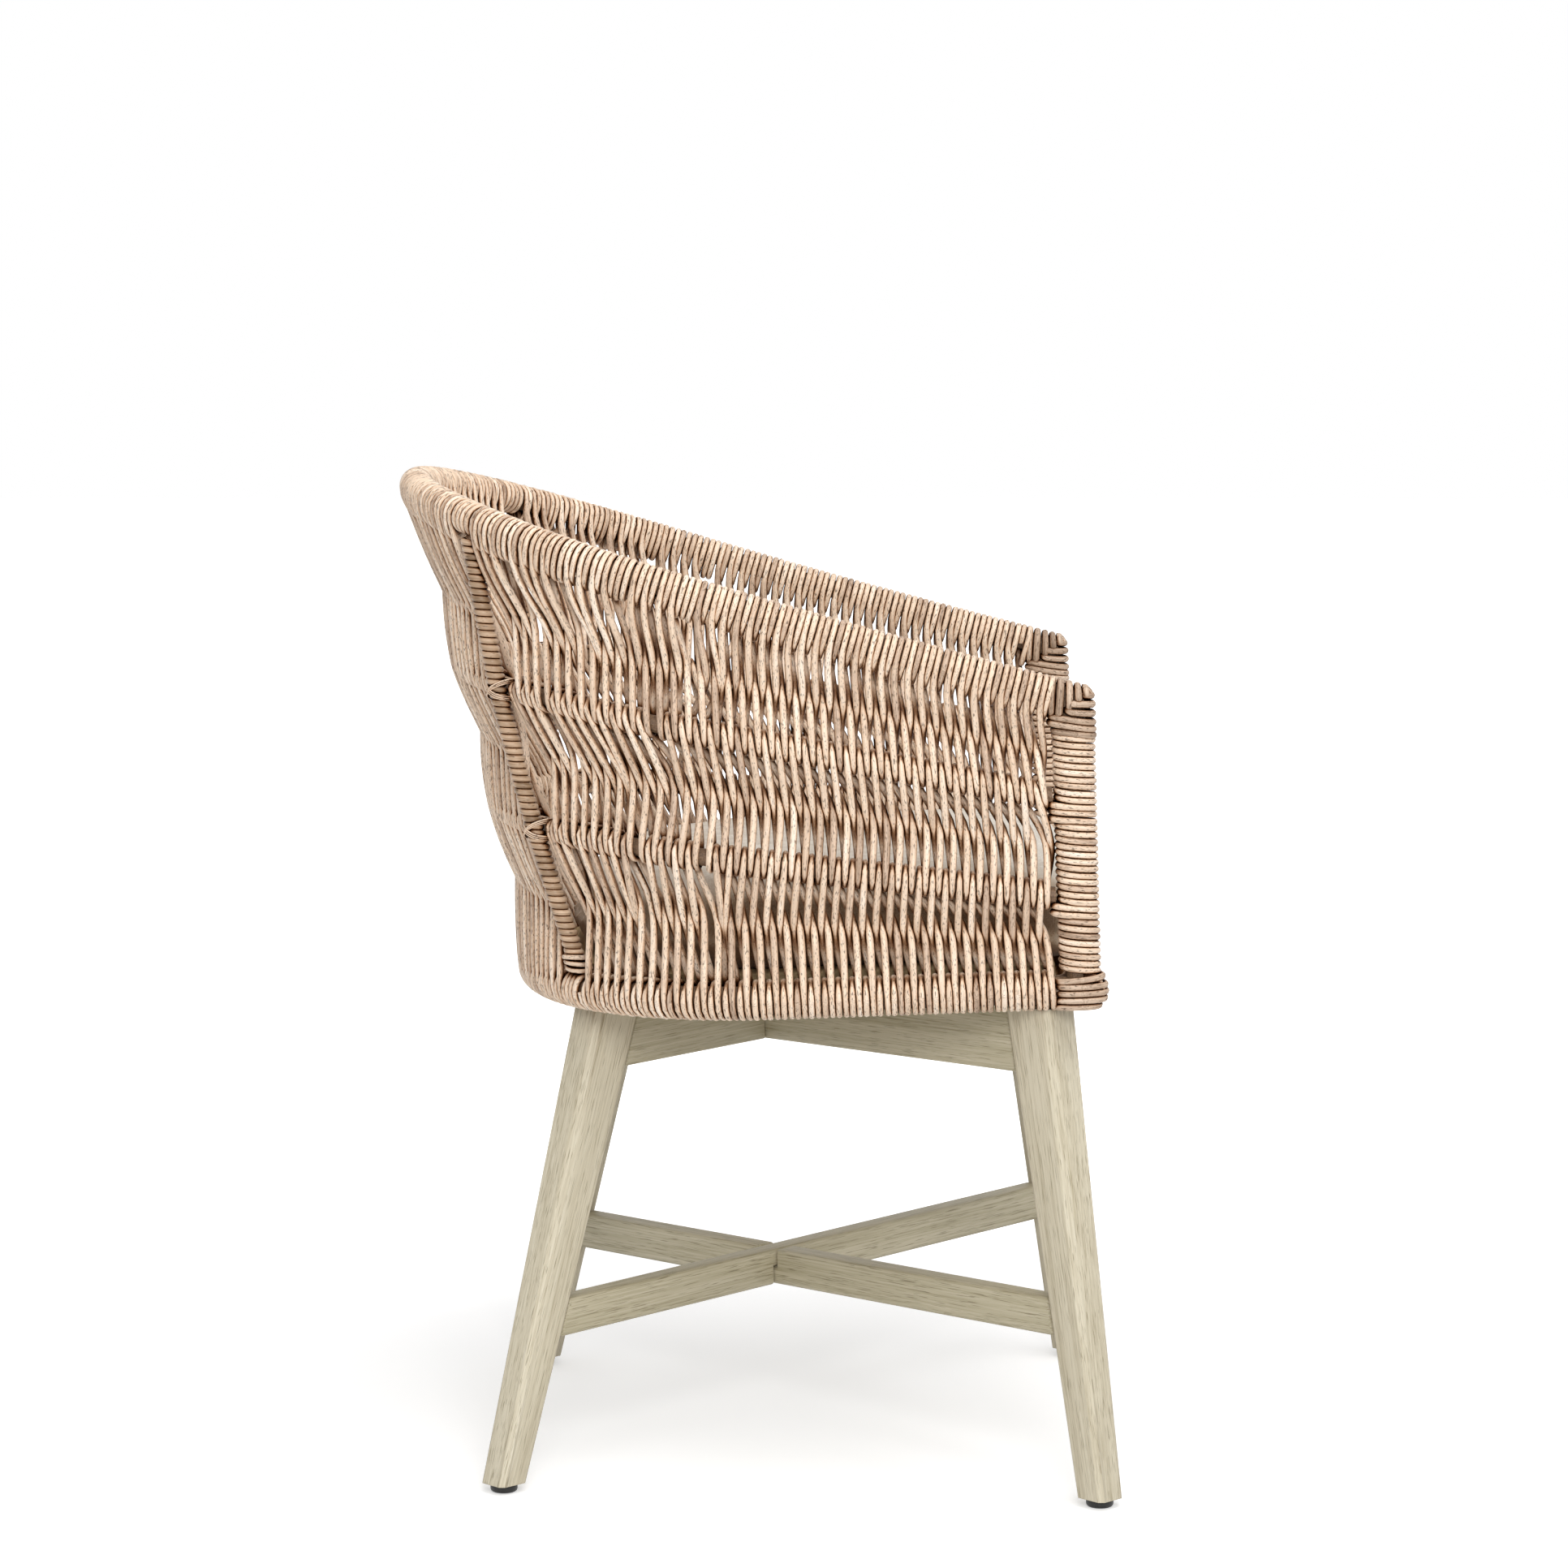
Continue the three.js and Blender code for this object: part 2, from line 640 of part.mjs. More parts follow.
const corners = [
  { name: 'front_right', reach: frontLeg, outX: -1, outY: -1 },
  { name: 'front_left', reach: frontLeg, outX: 1, outY: -1 },
  { name: 'rear_right', reach: rearLeg, outX: -1, outY: 1 },
  { name: 'rear_left', reach: rearLeg, outX: 1, outY: 1 },
];

function diagonal(corner) {
  const out = new THREE.Vector3(corner.outX, corner.outY, 0).normalize();
  return { out, across: up.clone().cross(out) };
}

function onDiagonal(corner, reach, rise, sideways = 0) {
  const { out, across } = diagonal(corner);
  return new THREE.Vector3(0, crossingBack, rise)
    .addScaledVector(out, reach).addScaledVector(across, sideways);
}

// Height on the seat plane's own axis of a point that stands at a level height above the floor
function riseOfLevel(level, y) {
  return (level - seatPlaneHeight + y * Math.sin(lean)) / Math.cos(lean);
}

function footRise(corner) {
  return riseOfLevel(leg.footHeight, onDiagonal(corner, corner.reach.footReach, 0).y);
}

function legSection(deep, wide) {
  const [halfDeep, halfWide, c] = [deep / 2, wide / 2, leg.chamfer];
  return [
    [halfDeep, halfWide - c], [halfDeep - c, halfWide], [-halfDeep + c, halfWide], [-halfDeep, halfWide - c],
    [-halfDeep, -halfWide + c], [-halfDeep + c, -halfWide], [halfDeep - c, -halfWide], [halfDeep, -halfWide + c],
  ];
}

// Distance of a leg's inner face from the crossing at a given rise
function legInnerReach(corner, rise) {
  const share = (legTop - rise) / (legTop - footRise(corner));
  const top = corner.reach.topReach - leg.topDeep / 2;
  const foot = corner.reach.footReach - leg.footDeep / 2;
  return THREE.MathUtils.lerp(top, foot, share);
}

// Dowel between the end of a rail and the leg that it meets
function dowelEnds(corner, rise) {
  const face = legInnerReach(corner, rise);
  return [onDiagonal(corner, face - dowel.halfLength, rise), onDiagonal(corner, face + dowel.halfLength, rise)];
}

function dowelBore(corner, rise) {
  const [from, to] = dowelEnds(corner, rise);
  const along = to.clone().sub(from).normalize();
  return rod(from.addScaledVector(along, -clearance), to.addScaledVector(along, clearance),
    boreRadius(dowel.radius, poleSides), poleSides);
}

const upperDowelRise = legTop - upperRail.height / 2;
const lowerDowelRise = -lowerStretcher.drop - lowerStretcher.height / 2;

function legGeometry(corner) {
  const topLoop = legSection(leg.topDeep, leg.topWide)
    .map(([out, sideways]) => onDiagonal(corner, corner.reach.topReach + out, legTop, sideways));
  const footLoop = legSection(leg.footDeep, leg.footWide).map(([out, sideways]) => {
    const point = onDiagonal(corner, corner.reach.footReach + out, 0, sideways);
    return point.setZ(riseOfLevel(leg.footHeight, point.y));
  });
  const size = topLoop.length;
  const points = [...footLoop, ...topLoop];
  const faces = wallFaces(2, size);
  for (let i = 1; i < size - 1; i += 1) faces.push(0, i + 1, i, size, size + i, size + i + 1);
  const body = indexedGeometry(points, facedOut(points, faces));
  const foot = onDiagonal(corner, corner.reach.footReach, footRise(corner));
  const plumb = new THREE.Vector3(0, -Math.sin(lean), Math.cos(lean));
  const stemBore = rod(foot.clone().addScaledVector(plumb, -cutterOverrun),
    foot.clone().addScaledVector(plumb, glide.stemLength + clearance),
    boreRadius(glide.stemRadius, poleSides), poleSides);
  return cut(body, [dowelBore(corner, upperDowelRise), dowelBore(corner, lowerDowelRise), stemBore]);
}

// A bar of the crossed rails: from one front leg to the rear leg opposite, cut to both inner faces,
// with half of its depth notched away where it crosses its twin. notchSide 1 notches the top.
function crossBar(front, rear, top, bar, notchSide) {
  const bottom = top - bar.height;
  const middle = top - bar.height / 2;
  const frontEnd = (rise) => -(legInnerReach(front, rise) - clearance);
  const rearEnd = (rise) => legInnerReach(rear, rise) - clearance;
  const notch = bar.thickness / 2 + clearance;
  const lap = middle - notchSide * clearance / 2;
  const edge = notchSide > 0 ? top : bottom;
  const notchPoints = [[-notch, edge], [-notch, lap], [notch, lap], [notch, edge]];
  const topPoints = notchSide > 0 ? notchPoints : [];
  const bottomPoints = notchSide > 0 ? [] : [...notchPoints].reverse();
  const outline = [
    [frontEnd(top), top], ...topPoints, [rearEnd(top), top],
    [rearEnd(bottom), bottom], ...bottomPoints, [frontEnd(bottom), bottom],
  ].map(([along, rise]) => new THREE.Vector2(along, rise));
  const geometry = new THREE.ExtrudeGeometry(new THREE.Shape(outline),
    { depth: bar.thickness, bevelEnabled: false });
  geometry.translate(0, 0, -bar.thickness / 2);
  const { out } = diagonal(rear);
  const placing = new THREE.Matrix4().makeBasis(out, up, out.clone().cross(up));
  placing.setPosition(0, crossingBack, 0);
  geometry.applyMatrix4(placing);
  return geometry;
}

const barPairs = [
  { letter: 'a', front: corners[0], rear: corners[3], notchSide: 1 },
  { letter: 'b', front: corners[1], rear: corners[2], notchSide: -1 },
];

function screwPoint(corner, rise) {
  return onDiagonal(corner, legInnerReach(corner, legTop) - seatScrew.fromLeg, rise);
}

const screwHeadTop = legTop - seatScrew.grip;

function screwBores(corner) {
  const shank = rod(screwPoint(corner, screwHeadTop - cutterOverrun),
    screwPoint(corner, legTop + seatScrew.bite + clearance * 2),
    boreRadius(seatScrew.radius, poleSides), poleSides);
  const head = rod(screwPoint(corner, legTop - upperRail.height - cutterOverrun),
    screwPoint(corner, screwHeadTop + clearance), boreRadius(seatScrew.headRadius, poleSides), poleSides);
  return { shank, head };
}

function screwGeometry(corner) {
  return join([
    rod(screwPoint(corner, screwHeadTop - clearance), screwPoint(corner, legTop + seatScrew.bite),
      seatScrew.radius, poleSides),
    rod(screwPoint(corner, screwHeadTop - seatScrew.headHeight), screwPoint(corner, screwHeadTop),
      seatScrew.headRadius, poleSides),
  ]);
}

function glideGeometry() {
  const top = leg.footHeight - clearance;
  const profile = [
    [0, 0], [glide.radius - glide.edge, 0], [glide.radius - glide.edge / 3, glide.edge / 3],
    [glide.radius, glide.edge], [glide.radius, top], [glide.stemRadius, top],
    [glide.stemRadius, leg.footHeight + glide.stemLength], [0, leg.footHeight + glide.stemLength],
  ].map(([radius, height]) => new THREE.Vector2(radius, height));
  return new THREE.LatheGeometry(profile, barSides).rotateX(quarterTurn);
}

function addBase() {
  for (const { letter, front, rear, notchSide } of barPairs) {
    const rail = crossBar(front, rear, legTop, upperRail, notchSide);
    const railCuts = [front, rear].flatMap((corner) => {
      const bores = screwBores(corner);
      return [dowelBore(corner, upperDowelRise), bores.shank, bores.head];
    });
    addPiece(seatFrame, `upper_rail_${letter}`, cut(rail, railCuts), 'timber');
    const stretcher = crossBar(front, rear, -lowerStretcher.drop, lowerStretcher, notchSide);
    const stretcherCuts = [front, rear].map((corner) => dowelBore(corner, lowerDowelRise));
    addPiece(seatFrame, `lower_stretcher_${letter}`, cut(stretcher, stretcherCuts), 'timber');
  }
  for (const corner of corners) {
    addPiece(seatFrame, `leg_${corner.name}`, legGeometry(corner), 'timber');
    addPiece(seatFrame, `rail_dowel_${corner.name}`,
      rod(...dowelEnds(corner, upperDowelRise), dowel.radius, poleSides), 'board');
    addPiece(seatFrame, `stretcher_dowel_${corner.name}`,
      rod(...dowelEnds(corner, lowerDowelRise), dowel.radius, poleSides), 'board');
    addPiece(seatFrame, `seat_screw_${corner.name}`, screwGeometry(corner), 'steel');
    const footCentre = onDiagonal(corner, corner.reach.footReach, footRise(corner));
    const level = footCentre.applyAxisAngle(new THREE.Vector3(1, 0, 0), -lean);
    const piece = addPiece(chair, `glide_${corner.name}`, glideGeometry(), 'rubber');
    piece.position.set(level.x, level.y, 0);
  }
}

// Seat board and bearers

// Half width of the inside of the bottom hoop, less a gap, at a given distance back
function insideHalfWidth(y, gap) {
  const depth = bottomHoop.backReach - bottomHoop.bendStart - gap;
  const turn = Math.max(y - bottomHoop.bendStart, 0) / depth;
  return (bottomHoop.halfWidth - gap) * Math.sqrt(1 - turn * turn);
}

function seatOutline(halfWidth, frontY, backY) {
  const shape = new THREE.Shape();
  shape.moveTo(-halfWidth, frontY);
  shape.lineTo(halfWidth, frontY);
  shape.lineTo(halfWidth, bottomHoop.bendStart);
  shape.absellipse(0, bottomHoop.bendStart, halfWidth, backY - bottomHoop.bendStart, 0, Math.PI, false, 0);
  shape.closePath();
  return shape;
}

function addSeat() {
  const gap = bottomWrapRadius + deck.edgeGap;
  const outline = seatOutline(bottomHoop.halfWidth - gap, -postReach + gap, bottomHoop.backReach - gap);
  const board = new THREE.ExtrudeGeometry(outline,
    { depth: deck.thickness, bevelEnabled: false, curveSegments: barSides });
  board.translate(0, 0, deckBottom);
  addPiece(seatFrame, 'seat_deck', board, 'board');

  const height = deckBottom - clearance - (legTop + clearance);
  const places = [
    ['front', -postReach + bearer.frontBack, [corners[0], corners[1]]],
    ['rear', bearer.rearBack, [corners[2], corners[3]]],
  ];
  for (const [name, y, ends] of places) {
    const farEdge = y + bearer.width / 2;
    const half = insideHalfWidth(farEdge, bottomWrapRadius + bearer.endGap);
    const block = new THREE.BoxGeometry(half * 2, bearer.width, height);
    block.translate(0, y, legTop + clearance + height / 2);
    addPiece(seatFrame, `seat_bearer_${name}`, cut(block, ends.map((end) => screwBores(end).shank)), 'timber');
  }
}

// Seat cushion: crowned top, sides that swell at mid height and draw in between the corners

const cushionSteps = { front: 10, corner: 4, side: 5, back: 22 };
// Size of each loop of the crown, and how much of the crown it has risen
const crownShares = [[0.93, 0.38], [0.8, 0.66], [0.6, 0.87], [0.35, 0.97]];
const sideDrawShare = 0.4;

// Plan points, anticlockwise from the front right corner, with the share of drawing in at each
function cushionPlan() {
  const { halfWidth, cornerRadius } = cushion;
  const frontY = -postReach - cushion.front;
  const backY = bottomHoop.backReach - cushion.backGap;
  const points = [];
  const corner = (centreX, from) => {
    for (let i = 0; i < cushionSteps.corner; i += 1) {
      const angle = from + quarterTurn * i / cushionSteps.corner;
      points.push([centreX + cornerRadius * Math.cos(angle),
        frontY + cornerRadius + cornerRadius * Math.sin(angle), 0]);
    }
  };
  const straight = (fromX, fromY, toX, toY, steps) => {
    for (let i = 0; i < steps; i += 1) {
      const share = i / steps;
      points.push([THREE.MathUtils.lerp(fromX, toX, share), THREE.MathUtils.lerp(fromY, toY, share),
        Math.sin(Math.PI * share)]);
    }
  };
  corner(-halfWidth + cornerRadius, Math.PI);
  straight(-halfWidth + cornerRadius, frontY, halfWidth - cornerRadius, frontY, cushionSteps.front);
  corner(halfWidth - cornerRadius, -quarterTurn);
  straight(halfWidth, frontY + cornerRadius, halfWidth, bottomHoop.bendStart, cushionSteps.side);
  for (let i = 0; i < cushionSteps.back; i += 1) {
    const angle = Math.PI * i / cushionSteps.back;
    points.push([halfWidth * Math.cos(angle),
      bottomHoop.bendStart + (backY - bottomHoop.bendStart) * Math.sin(angle), 0]);
  }
  straight(-halfWidth, bottomHoop.bendStart, -halfWidth, frontY + cornerRadius, cushionSteps.side);
  return points;
}

function cushionGeometry() {
  const base = deckTop + clearance;
  const plan = cushionPlan();
  const middle = new THREE.Vector2(0, bottomHoop.bendStart);
  const loopAt = (outset, rise, drawShare, sizeShare = 1) => plan.map(([x, y, draw]) => {
    const inward = middle.clone().sub(new THREE.Vector2(x, y)).normalize();
    const shift = cushion.drawnIn * draw * drawShare - outset;
    const flat = new THREE.Vector2(x, y).addScaledVector(inward, shift);
    flat.sub(middle).multiplyScalar(sizeShare).add(middle);
    return new THREE.Vector3(flat.x, flat.y, base + rise);
  });
  const loops = [
    loopAt(-cushion.underInset, 0, 1),
    loopAt(0, cushion.underRise, 1),
    loopAt(cushion.sideBulge, cushion.edgeHeight / 2, sideDrawShare),
    loopAt(cushion.topOutset, cushion.edgeHeight, 1),
    ...crownShares.map(([size, rise]) => {
      return loopAt(cushion.topOutset, cushion.edgeHeight + cushion.crown * rise, 1, size);
    }),
  ];
  const size = plan.length;
  const points = loops.flat();
  const faces = wallFaces(loops.length, size);
  const underside = points.push(new THREE.Vector3(middle.x, middle.y, base)) - 1;
  const top = points.push(
    new THREE.Vector3(middle.x, middle.y, base + cushion.edgeHeight + cushion.crown)) - 1;
  const last = (loops.length - 1) * size;
  for (let j = 0; j < size; j += 1) {
    const next = (j + 1) % size;
    faces.push(underside, next, j, top, last + j, last + next);
  }
  return indexedGeometry(points, facedOut(points, faces));
}

addBase();
addHoops();
addFrontFrame();
addWovenPanels();
addSeat();
addPiece(seatFrame, 'seat_cushion', cushionGeometry(), 'fabric');

// The origin is the middle of the footprint of the chair's box, on the floor
chair.updateMatrixWorld(true);
const box = new THREE.Box3().setFromObject(chair, true);
const shift = box.getCenter(new THREE.Vector3());
for (const child of chair.children) {
  child.position.x -= shift.x;
  child.position.y -= shift.y;
}

export default chair;
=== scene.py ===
import random
from math import acos, asin, atan2, copysign, cos, pi, radians, sin

import bmesh
import bpy
import numpy as np
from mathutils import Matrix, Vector


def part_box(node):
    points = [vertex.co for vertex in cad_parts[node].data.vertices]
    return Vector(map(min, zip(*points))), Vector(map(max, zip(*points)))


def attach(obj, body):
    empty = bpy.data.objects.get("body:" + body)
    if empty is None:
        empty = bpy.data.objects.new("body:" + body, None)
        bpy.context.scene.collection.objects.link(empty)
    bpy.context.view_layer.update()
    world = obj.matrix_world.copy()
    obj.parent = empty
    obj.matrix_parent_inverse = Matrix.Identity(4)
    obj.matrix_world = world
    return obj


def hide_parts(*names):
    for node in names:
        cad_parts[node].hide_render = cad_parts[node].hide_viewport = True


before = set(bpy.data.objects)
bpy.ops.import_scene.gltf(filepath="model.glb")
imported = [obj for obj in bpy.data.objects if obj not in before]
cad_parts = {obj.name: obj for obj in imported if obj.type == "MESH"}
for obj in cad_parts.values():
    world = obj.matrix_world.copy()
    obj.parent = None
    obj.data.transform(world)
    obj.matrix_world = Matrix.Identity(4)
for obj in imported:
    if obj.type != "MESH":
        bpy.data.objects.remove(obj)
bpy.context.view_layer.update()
chance = random.Random(11)
mm = 0.001
up = np.array([0, 0, 1.0])
bothSides = ((-1, "Right"), (1, "Left"))
cornerNames = ("front_left", "front_right", "rear_left", "rear_right")

# Camera, floor and light come first

viewer = {
    "place": (-3896, -89.4, 989.2),  # mm, to the chair's right, at about waist height
    "pitchDown": 6.473,              # degrees
    "turn": 0.977,                   # degrees, from straight along +X towards the chair's back
    "lens": 107.7,                   # mm on a 36 mm sensor
}


def addObject(name, data):
    thing = bpy.data.objects.new(name, data)
    bpy.context.scene.collection.objects.link(thing)
    return thing


cameraData = bpy.data.cameras.new("sideCamera")
cameraData.lens = viewer["lens"]
cameraData.sensor_width = 36
cameraData.clip_end = 60
cameraObject = addObject("sideCamera", cameraData)
pitch, turn = radians(viewer["pitchDown"]), radians(viewer["turn"])
aim = Vector((cos(pitch) * cos(turn), cos(pitch) * sin(turn), -sin(pitch)))
cameraObject.location = Vector(viewer["place"]) * mm
cameraObject.rotation_euler = aim.to_track_quat("-Z", "Y").to_euler()
bpy.context.scene.camera = cameraObject
bpy.context.scene.view_settings.view_transform = "Standard"


# sRGB hex to a linear colour
def linear(hexColour):
    parts = [int(hexColour[i:i + 2], 16) / 255 for i in (1, 3, 5)]
    return tuple(p / 12.92 if p <= 0.04045 else ((p + 0.055) / 1.055) ** 2.4 for p in parts) + (1,)


def setRamp(ramp, stops):
    while len(ramp.elements) < len(stops):
        ramp.elements.new(0.5)
    for element, (place, colour) in zip(ramp.elements, stops):
        element.position = place
        element.color = linear(colour)


# Each link comes from a socket, or from a node's first output
def joinUp(tree, node, links):
    for key, source in links.items():
        tree.links.new(getattr(source, "outputs", [source])[0], node.inputs[key])


def addNode(tree, kind, settings=None, links=None):
    node = tree.nodes.new("ShaderNode" + kind)
    for key, value in (settings or {}).items():
        if key == "stops":
            setRamp(node.color_ramp, value)
        elif isinstance(key, int) or key in node.inputs:
            node.inputs[key].default_value = value
        else:
            setattr(node, key, value)
    joinUp(tree, node, links or {})
    return node


def startMaterial(name, settings):
    material = bpy.data.materials.new(name)
    material.use_nodes = True
    shader = material.node_tree.nodes["Principled BSDF"]
    for key, value in settings.items():
        shader.inputs[key].default_value = value
    return material, material.node_tree, shader


def spread(low, high, toLow=0.0, toHigh=1.0):
    return {"From Min": low, "From Max": high, "To Min": toLow, "To Max": toHigh}


# 1 where the camera, a reflection or a view through glass looks straight at the backdrop
def seenDirectly(tree):
    rays = addNode(tree, "LightPath").outputs
    seen = addNode(tree, "Math", {"operation": "MAXIMUM"},
                   {0: rays["Is Camera Ray"], 1: rays["Is Glossy Ray"]})
    return addNode(tree, "Math", {"operation": "MAXIMUM"}, {0: seen, 1: rays["Is Transmission Ray"]})


stage = {"floorSize": 30, "floorColour": "#E6E6E6", "nearLift": 0.42, "farLift": 1.0,
         "shadowReach": 0.5, "whiteFrom": 1.5, "skyStrength": 0.55}


def makeStage():
    world = bpy.data.worlds.new("paleRoom")
    bpy.context.scene.world = world
    world.use_nodes = True
    tree = world.node_tree
    background = tree.nodes["Background"]
    background.inputs["Color"].default_value = (1, 1, 1, 1)
    # the room's light is a little under white, while the camera sees plain white
    strength = addNode(tree, "MapRange", spread(0, 1, stage["skyStrength"]), {"Value": seenDirectly(tree)})
    joinUp(tree, background, {"Strength": strength})

    half = stage["floorSize"] / 2
    mesh = bpy.data.meshes.new("studioFloor")
    mesh.from_pydata([(-half, -half, 0), (half, -half, 0), (half, half, 0), (-half, half, 0)],
                     [], [(0, 1, 2, 3)])
    material, tree, shader = startMaterial("paintedStudioFloor", {
        "Base Color": linear(stage["floorColour"]), "Roughness": 1, "Specular IOR Level": 0})
    # the painted floor runs out to plain white beyond the chair's shadow
    place = addNode(tree, "TexCoord")
    distance = addNode(tree, "VectorMath", {"operation": "LENGTH"}, {0: place.outputs["Object"]})
    glowing = addNode(tree, "MapRange", spread(stage["shadowReach"], stage["whiteFrom"], stage["nearLift"],
                                               stage["farLift"]), {"Value": distance.outputs["Value"]})
    lift = addNode(tree, "Math", {"operation": "MULTIPLY"}, {0: seenDirectly(tree), 1: glowing})
    glow = addNode(tree, "Emission", {"Color": (1, 1, 1, 1)}, {"Strength": lift})
    both = addNode(tree, "AddShader", None, {0: shader, 1: glow})
    joinUp(tree, tree.nodes["Material Output"], {"Surface": both})
    mesh.materials.append(material)
    addObject("studioFloor", mesh)


lamps = {
    "overheadSoftbox": {"place": (-0.9, -0.6, 3.2), "target": (0, 0, 0.5), "size": 2.4, "power": 47},
    "sideSoftbox": {"place": (-3.3, -0.3, 1.9), "target": (0, 0, 0.5), "size": 1.4, "power": 51},
}
makeStage()
for lampName, facts in lamps.items():
    lampData = bpy.data.lights.new(lampName, "AREA")
    lampData.shape = "DISK"
    lampData.size = facts["size"]
    lampData.energy = facts["power"]
    lamp = addObject(lampName, lampData)
    lamp.location = facts["place"]
    lampAim = Vector(facts["target"]) - lamp.location
    lamp.rotation_euler = lampAim.to_track_quat("-Z", "Y").to_euler()
print("stage and camera ready")


# Materials

# One noise for each row of a scale and settings. A scale is one over the pattern's size in metres.
def addNoises(tree, place, rows):
    noises = []
    for scale, settings in rows:
        stretched = addNode(tree, "Mapping", {"Scale": scale}, {"Vector": place})
        noises.append(addNode(tree, "TexNoise", {"Scale": 1, **settings}, {"Vector": stretched}))
    return noises


# How open each point lies, and the colour with a shade over it where something lies within reach metres
def shadeNear(tree, colour, reach, samples, stops):
    openness = addNode(tree, "AmbientOcclusion", {"samples": samples, "Distance": reach}).outputs["AO"]
    shade = addNode(tree, "ValToRGB", {"stops": stops}, {"Fac": openness})
    shaded = addNode(tree, "Mix", {"data_type": "RGBA", "blend_type": "MULTIPLY", 0: 1.0},
                     {6: colour, 7: shade})
    return openness, shaded.outputs[2]


# Rattan core: the cane's inner pith, machine-drawn to a round strand and left unvarnished.
# The eye gets straw to taupe strands, long fine fibres and small dark flecks.
def rattanCore(name, stops, roughness=0.5, speckShare=0.59):
    material, tree, shader = startMaterial(name, {"Roughness": roughness, "IOR": 1.5})
    place = addNode(tree, "Attribute", {"attribute_name": "strandPlace"}).outputs["Vector"]
    level = addNode(tree, "Attribute", {"attribute_name": "strandTone"}).outputs["Fac"]
    fibre, blotch, fleck, knot = addNoises(tree, place, (
        ((40, 1250, 1250), {"Detail": 4, "Roughness": 0.6}),  # fibres 0.8 mm wide and about 25 mm long
        ((65, 160, 160), {"Detail": 2}),                      # blotches of weathering 15 mm long
        ((300, 1100, 1100), {"Detail": 1}),                   # flecks 0.9 mm wide and 3 mm long
        ((110, 300, 300), {"Detail": 3}),                     # a few knots, 3 mm wide and 9 mm long
    ))
    for pattern, sway in ((fibre, 0.3), (blotch, 0.16)):
        shift = addNode(tree, "MapRange", spread(0.3, 0.7, -sway, sway), {"Value": pattern})
        level = addNode(tree, "Math", {"operation": "ADD"}, {0: level, 1: shift})
    colour = addNode(tree, "ValToRGB", {"stops": stops}, {"Fac": level})
    fleckMask = addNode(tree, "MapRange", spread(speckShare, speckShare + 0.07), {"Value": fleck})
    knotMask = addNode(tree, "MapRange", spread(0.69, 0.74), {"Value": knot})
    marks = addNode(tree, "Math", {"operation": "MAXIMUM"}, {0: fleckMask, 1: knotMask})
    amount = addNode(tree, "Math", {"operation": "MULTIPLY", 1: 0.72}, {0: marks})
    marked = addNode(tree, "Mix", {"data_type": "RGBA", 7: linear("#4A3524")}, {0: amount, 6: colour})
    # painted shade darkens the creases, within about 9 mm of a neighbour, from brown to nearly black, browned
    # like light bounced between the canes
    crease, creaseShaded = shadeNear(tree, marked.outputs[2], 0.009, 8, [
        (0.24, "#1A0900"), (0.46, "#4C2607"), (0.61, "#A97A4E"), (0.76, "#F8EADA"), (0.9, "#FFFFFF")])
    # the highlight is weakened where the painted crease shade falls
    gloss = addNode(tree, "MapRange", spread(0.3, 0.8, 0, 0.35), {"Value": crease})
    bump = addNode(tree, "Bump", {"Strength": 0.6, "Distance": 0.0004}, {"Height": fibre})
    joinUp(tree, shader, {"Base Color": creaseShaded, "Specular IOR Level": gloss, "Normal": bump})
    return material


strandStops = [(0.0, "#A38A74"), (0.2, "#C3A993"), (0.38, "#D1B8A2"), (0.5, "#DDC2A6"), (0.62, "#E2CCB8"),
               (0.75, "#EBD1B6"), (0.88, "#F0DCC7"), (1.0, "#F7E6D4")]
# the corner bindings are drawn in darker tones than the weave
cornerStops = [(0.0, "#86705D"), (0.35, "#AA917B"), (0.7, "#C9B19B"), (1.0, "#DCC7B2")]
ribStops = [(0.0, "#7E654B"), (0.4, "#A98D72"), (0.75, "#C8AB8F"), (1.0, "#DCC1A5")]
wovenCane = rattanCore("rattanCoreUnvarnished", strandStops)
cornerCane = rattanCore("rattanCoreDarkerTone", cornerStops, roughness=0.55)
skinnedCane = rattanCore("rattanPoleWithSkin", ribStops, roughness=0.34, speckShare=0.68)


# Ash or mindi, planed and lime washed: the eye gets a grey-green beige with fine darker grain.
def washedTimber(name, stops, poreColour):
    material, tree, shader = startMaterial(name, {"Roughness": 0.52, "IOR": 1.5})
    place = addNode(tree, "Attribute", {"attribute_name": "grainPlace"}).outputs["Vector"]
    grain, band, pore = addNoises(tree, place, (
        # grain lines about 1.6 mm apart, wandering over 110 mm
        ((9, 620, 620), {"Detail": 5, "Roughness": 0.65, "Distortion": 0.4}),
        ((3, 85, 85), {"Detail": 2, "Distortion": 0.6}),  # broad growth bands 12 mm wide
        ((48, 1500, 1500), {"Detail": 1}),                # open pores 0.7 mm wide and 20 mm long
    ))
    both = addNode(tree, "Mix", {"data_type": "FLOAT", 0: 0.25}, {2: grain, 3: band})
    colour = addNode(tree, "ValToRGB", {"stops": stops}, {"Fac": both})
    poreMask = addNode(tree, "MapRange", spread(0.6, 0.68), {"Value": pore})
    amount = addNode(tree, "Math", {"operation": "MULTIPLY", 1: 0.7}, {0: poreMask})
    pored = addNode(tree, "Mix", {"data_type": "RGBA", 7: linear(poreColour)}, {0: amount, 6: colour})
    bump = addNode(tree, "Bump", {"Strength": 0.35, "Distance": 0.0003}, {"Height": grain})
    joinUp(tree, shader, {"Base Color": pored.outputs[2], "Normal": bump})
    return material


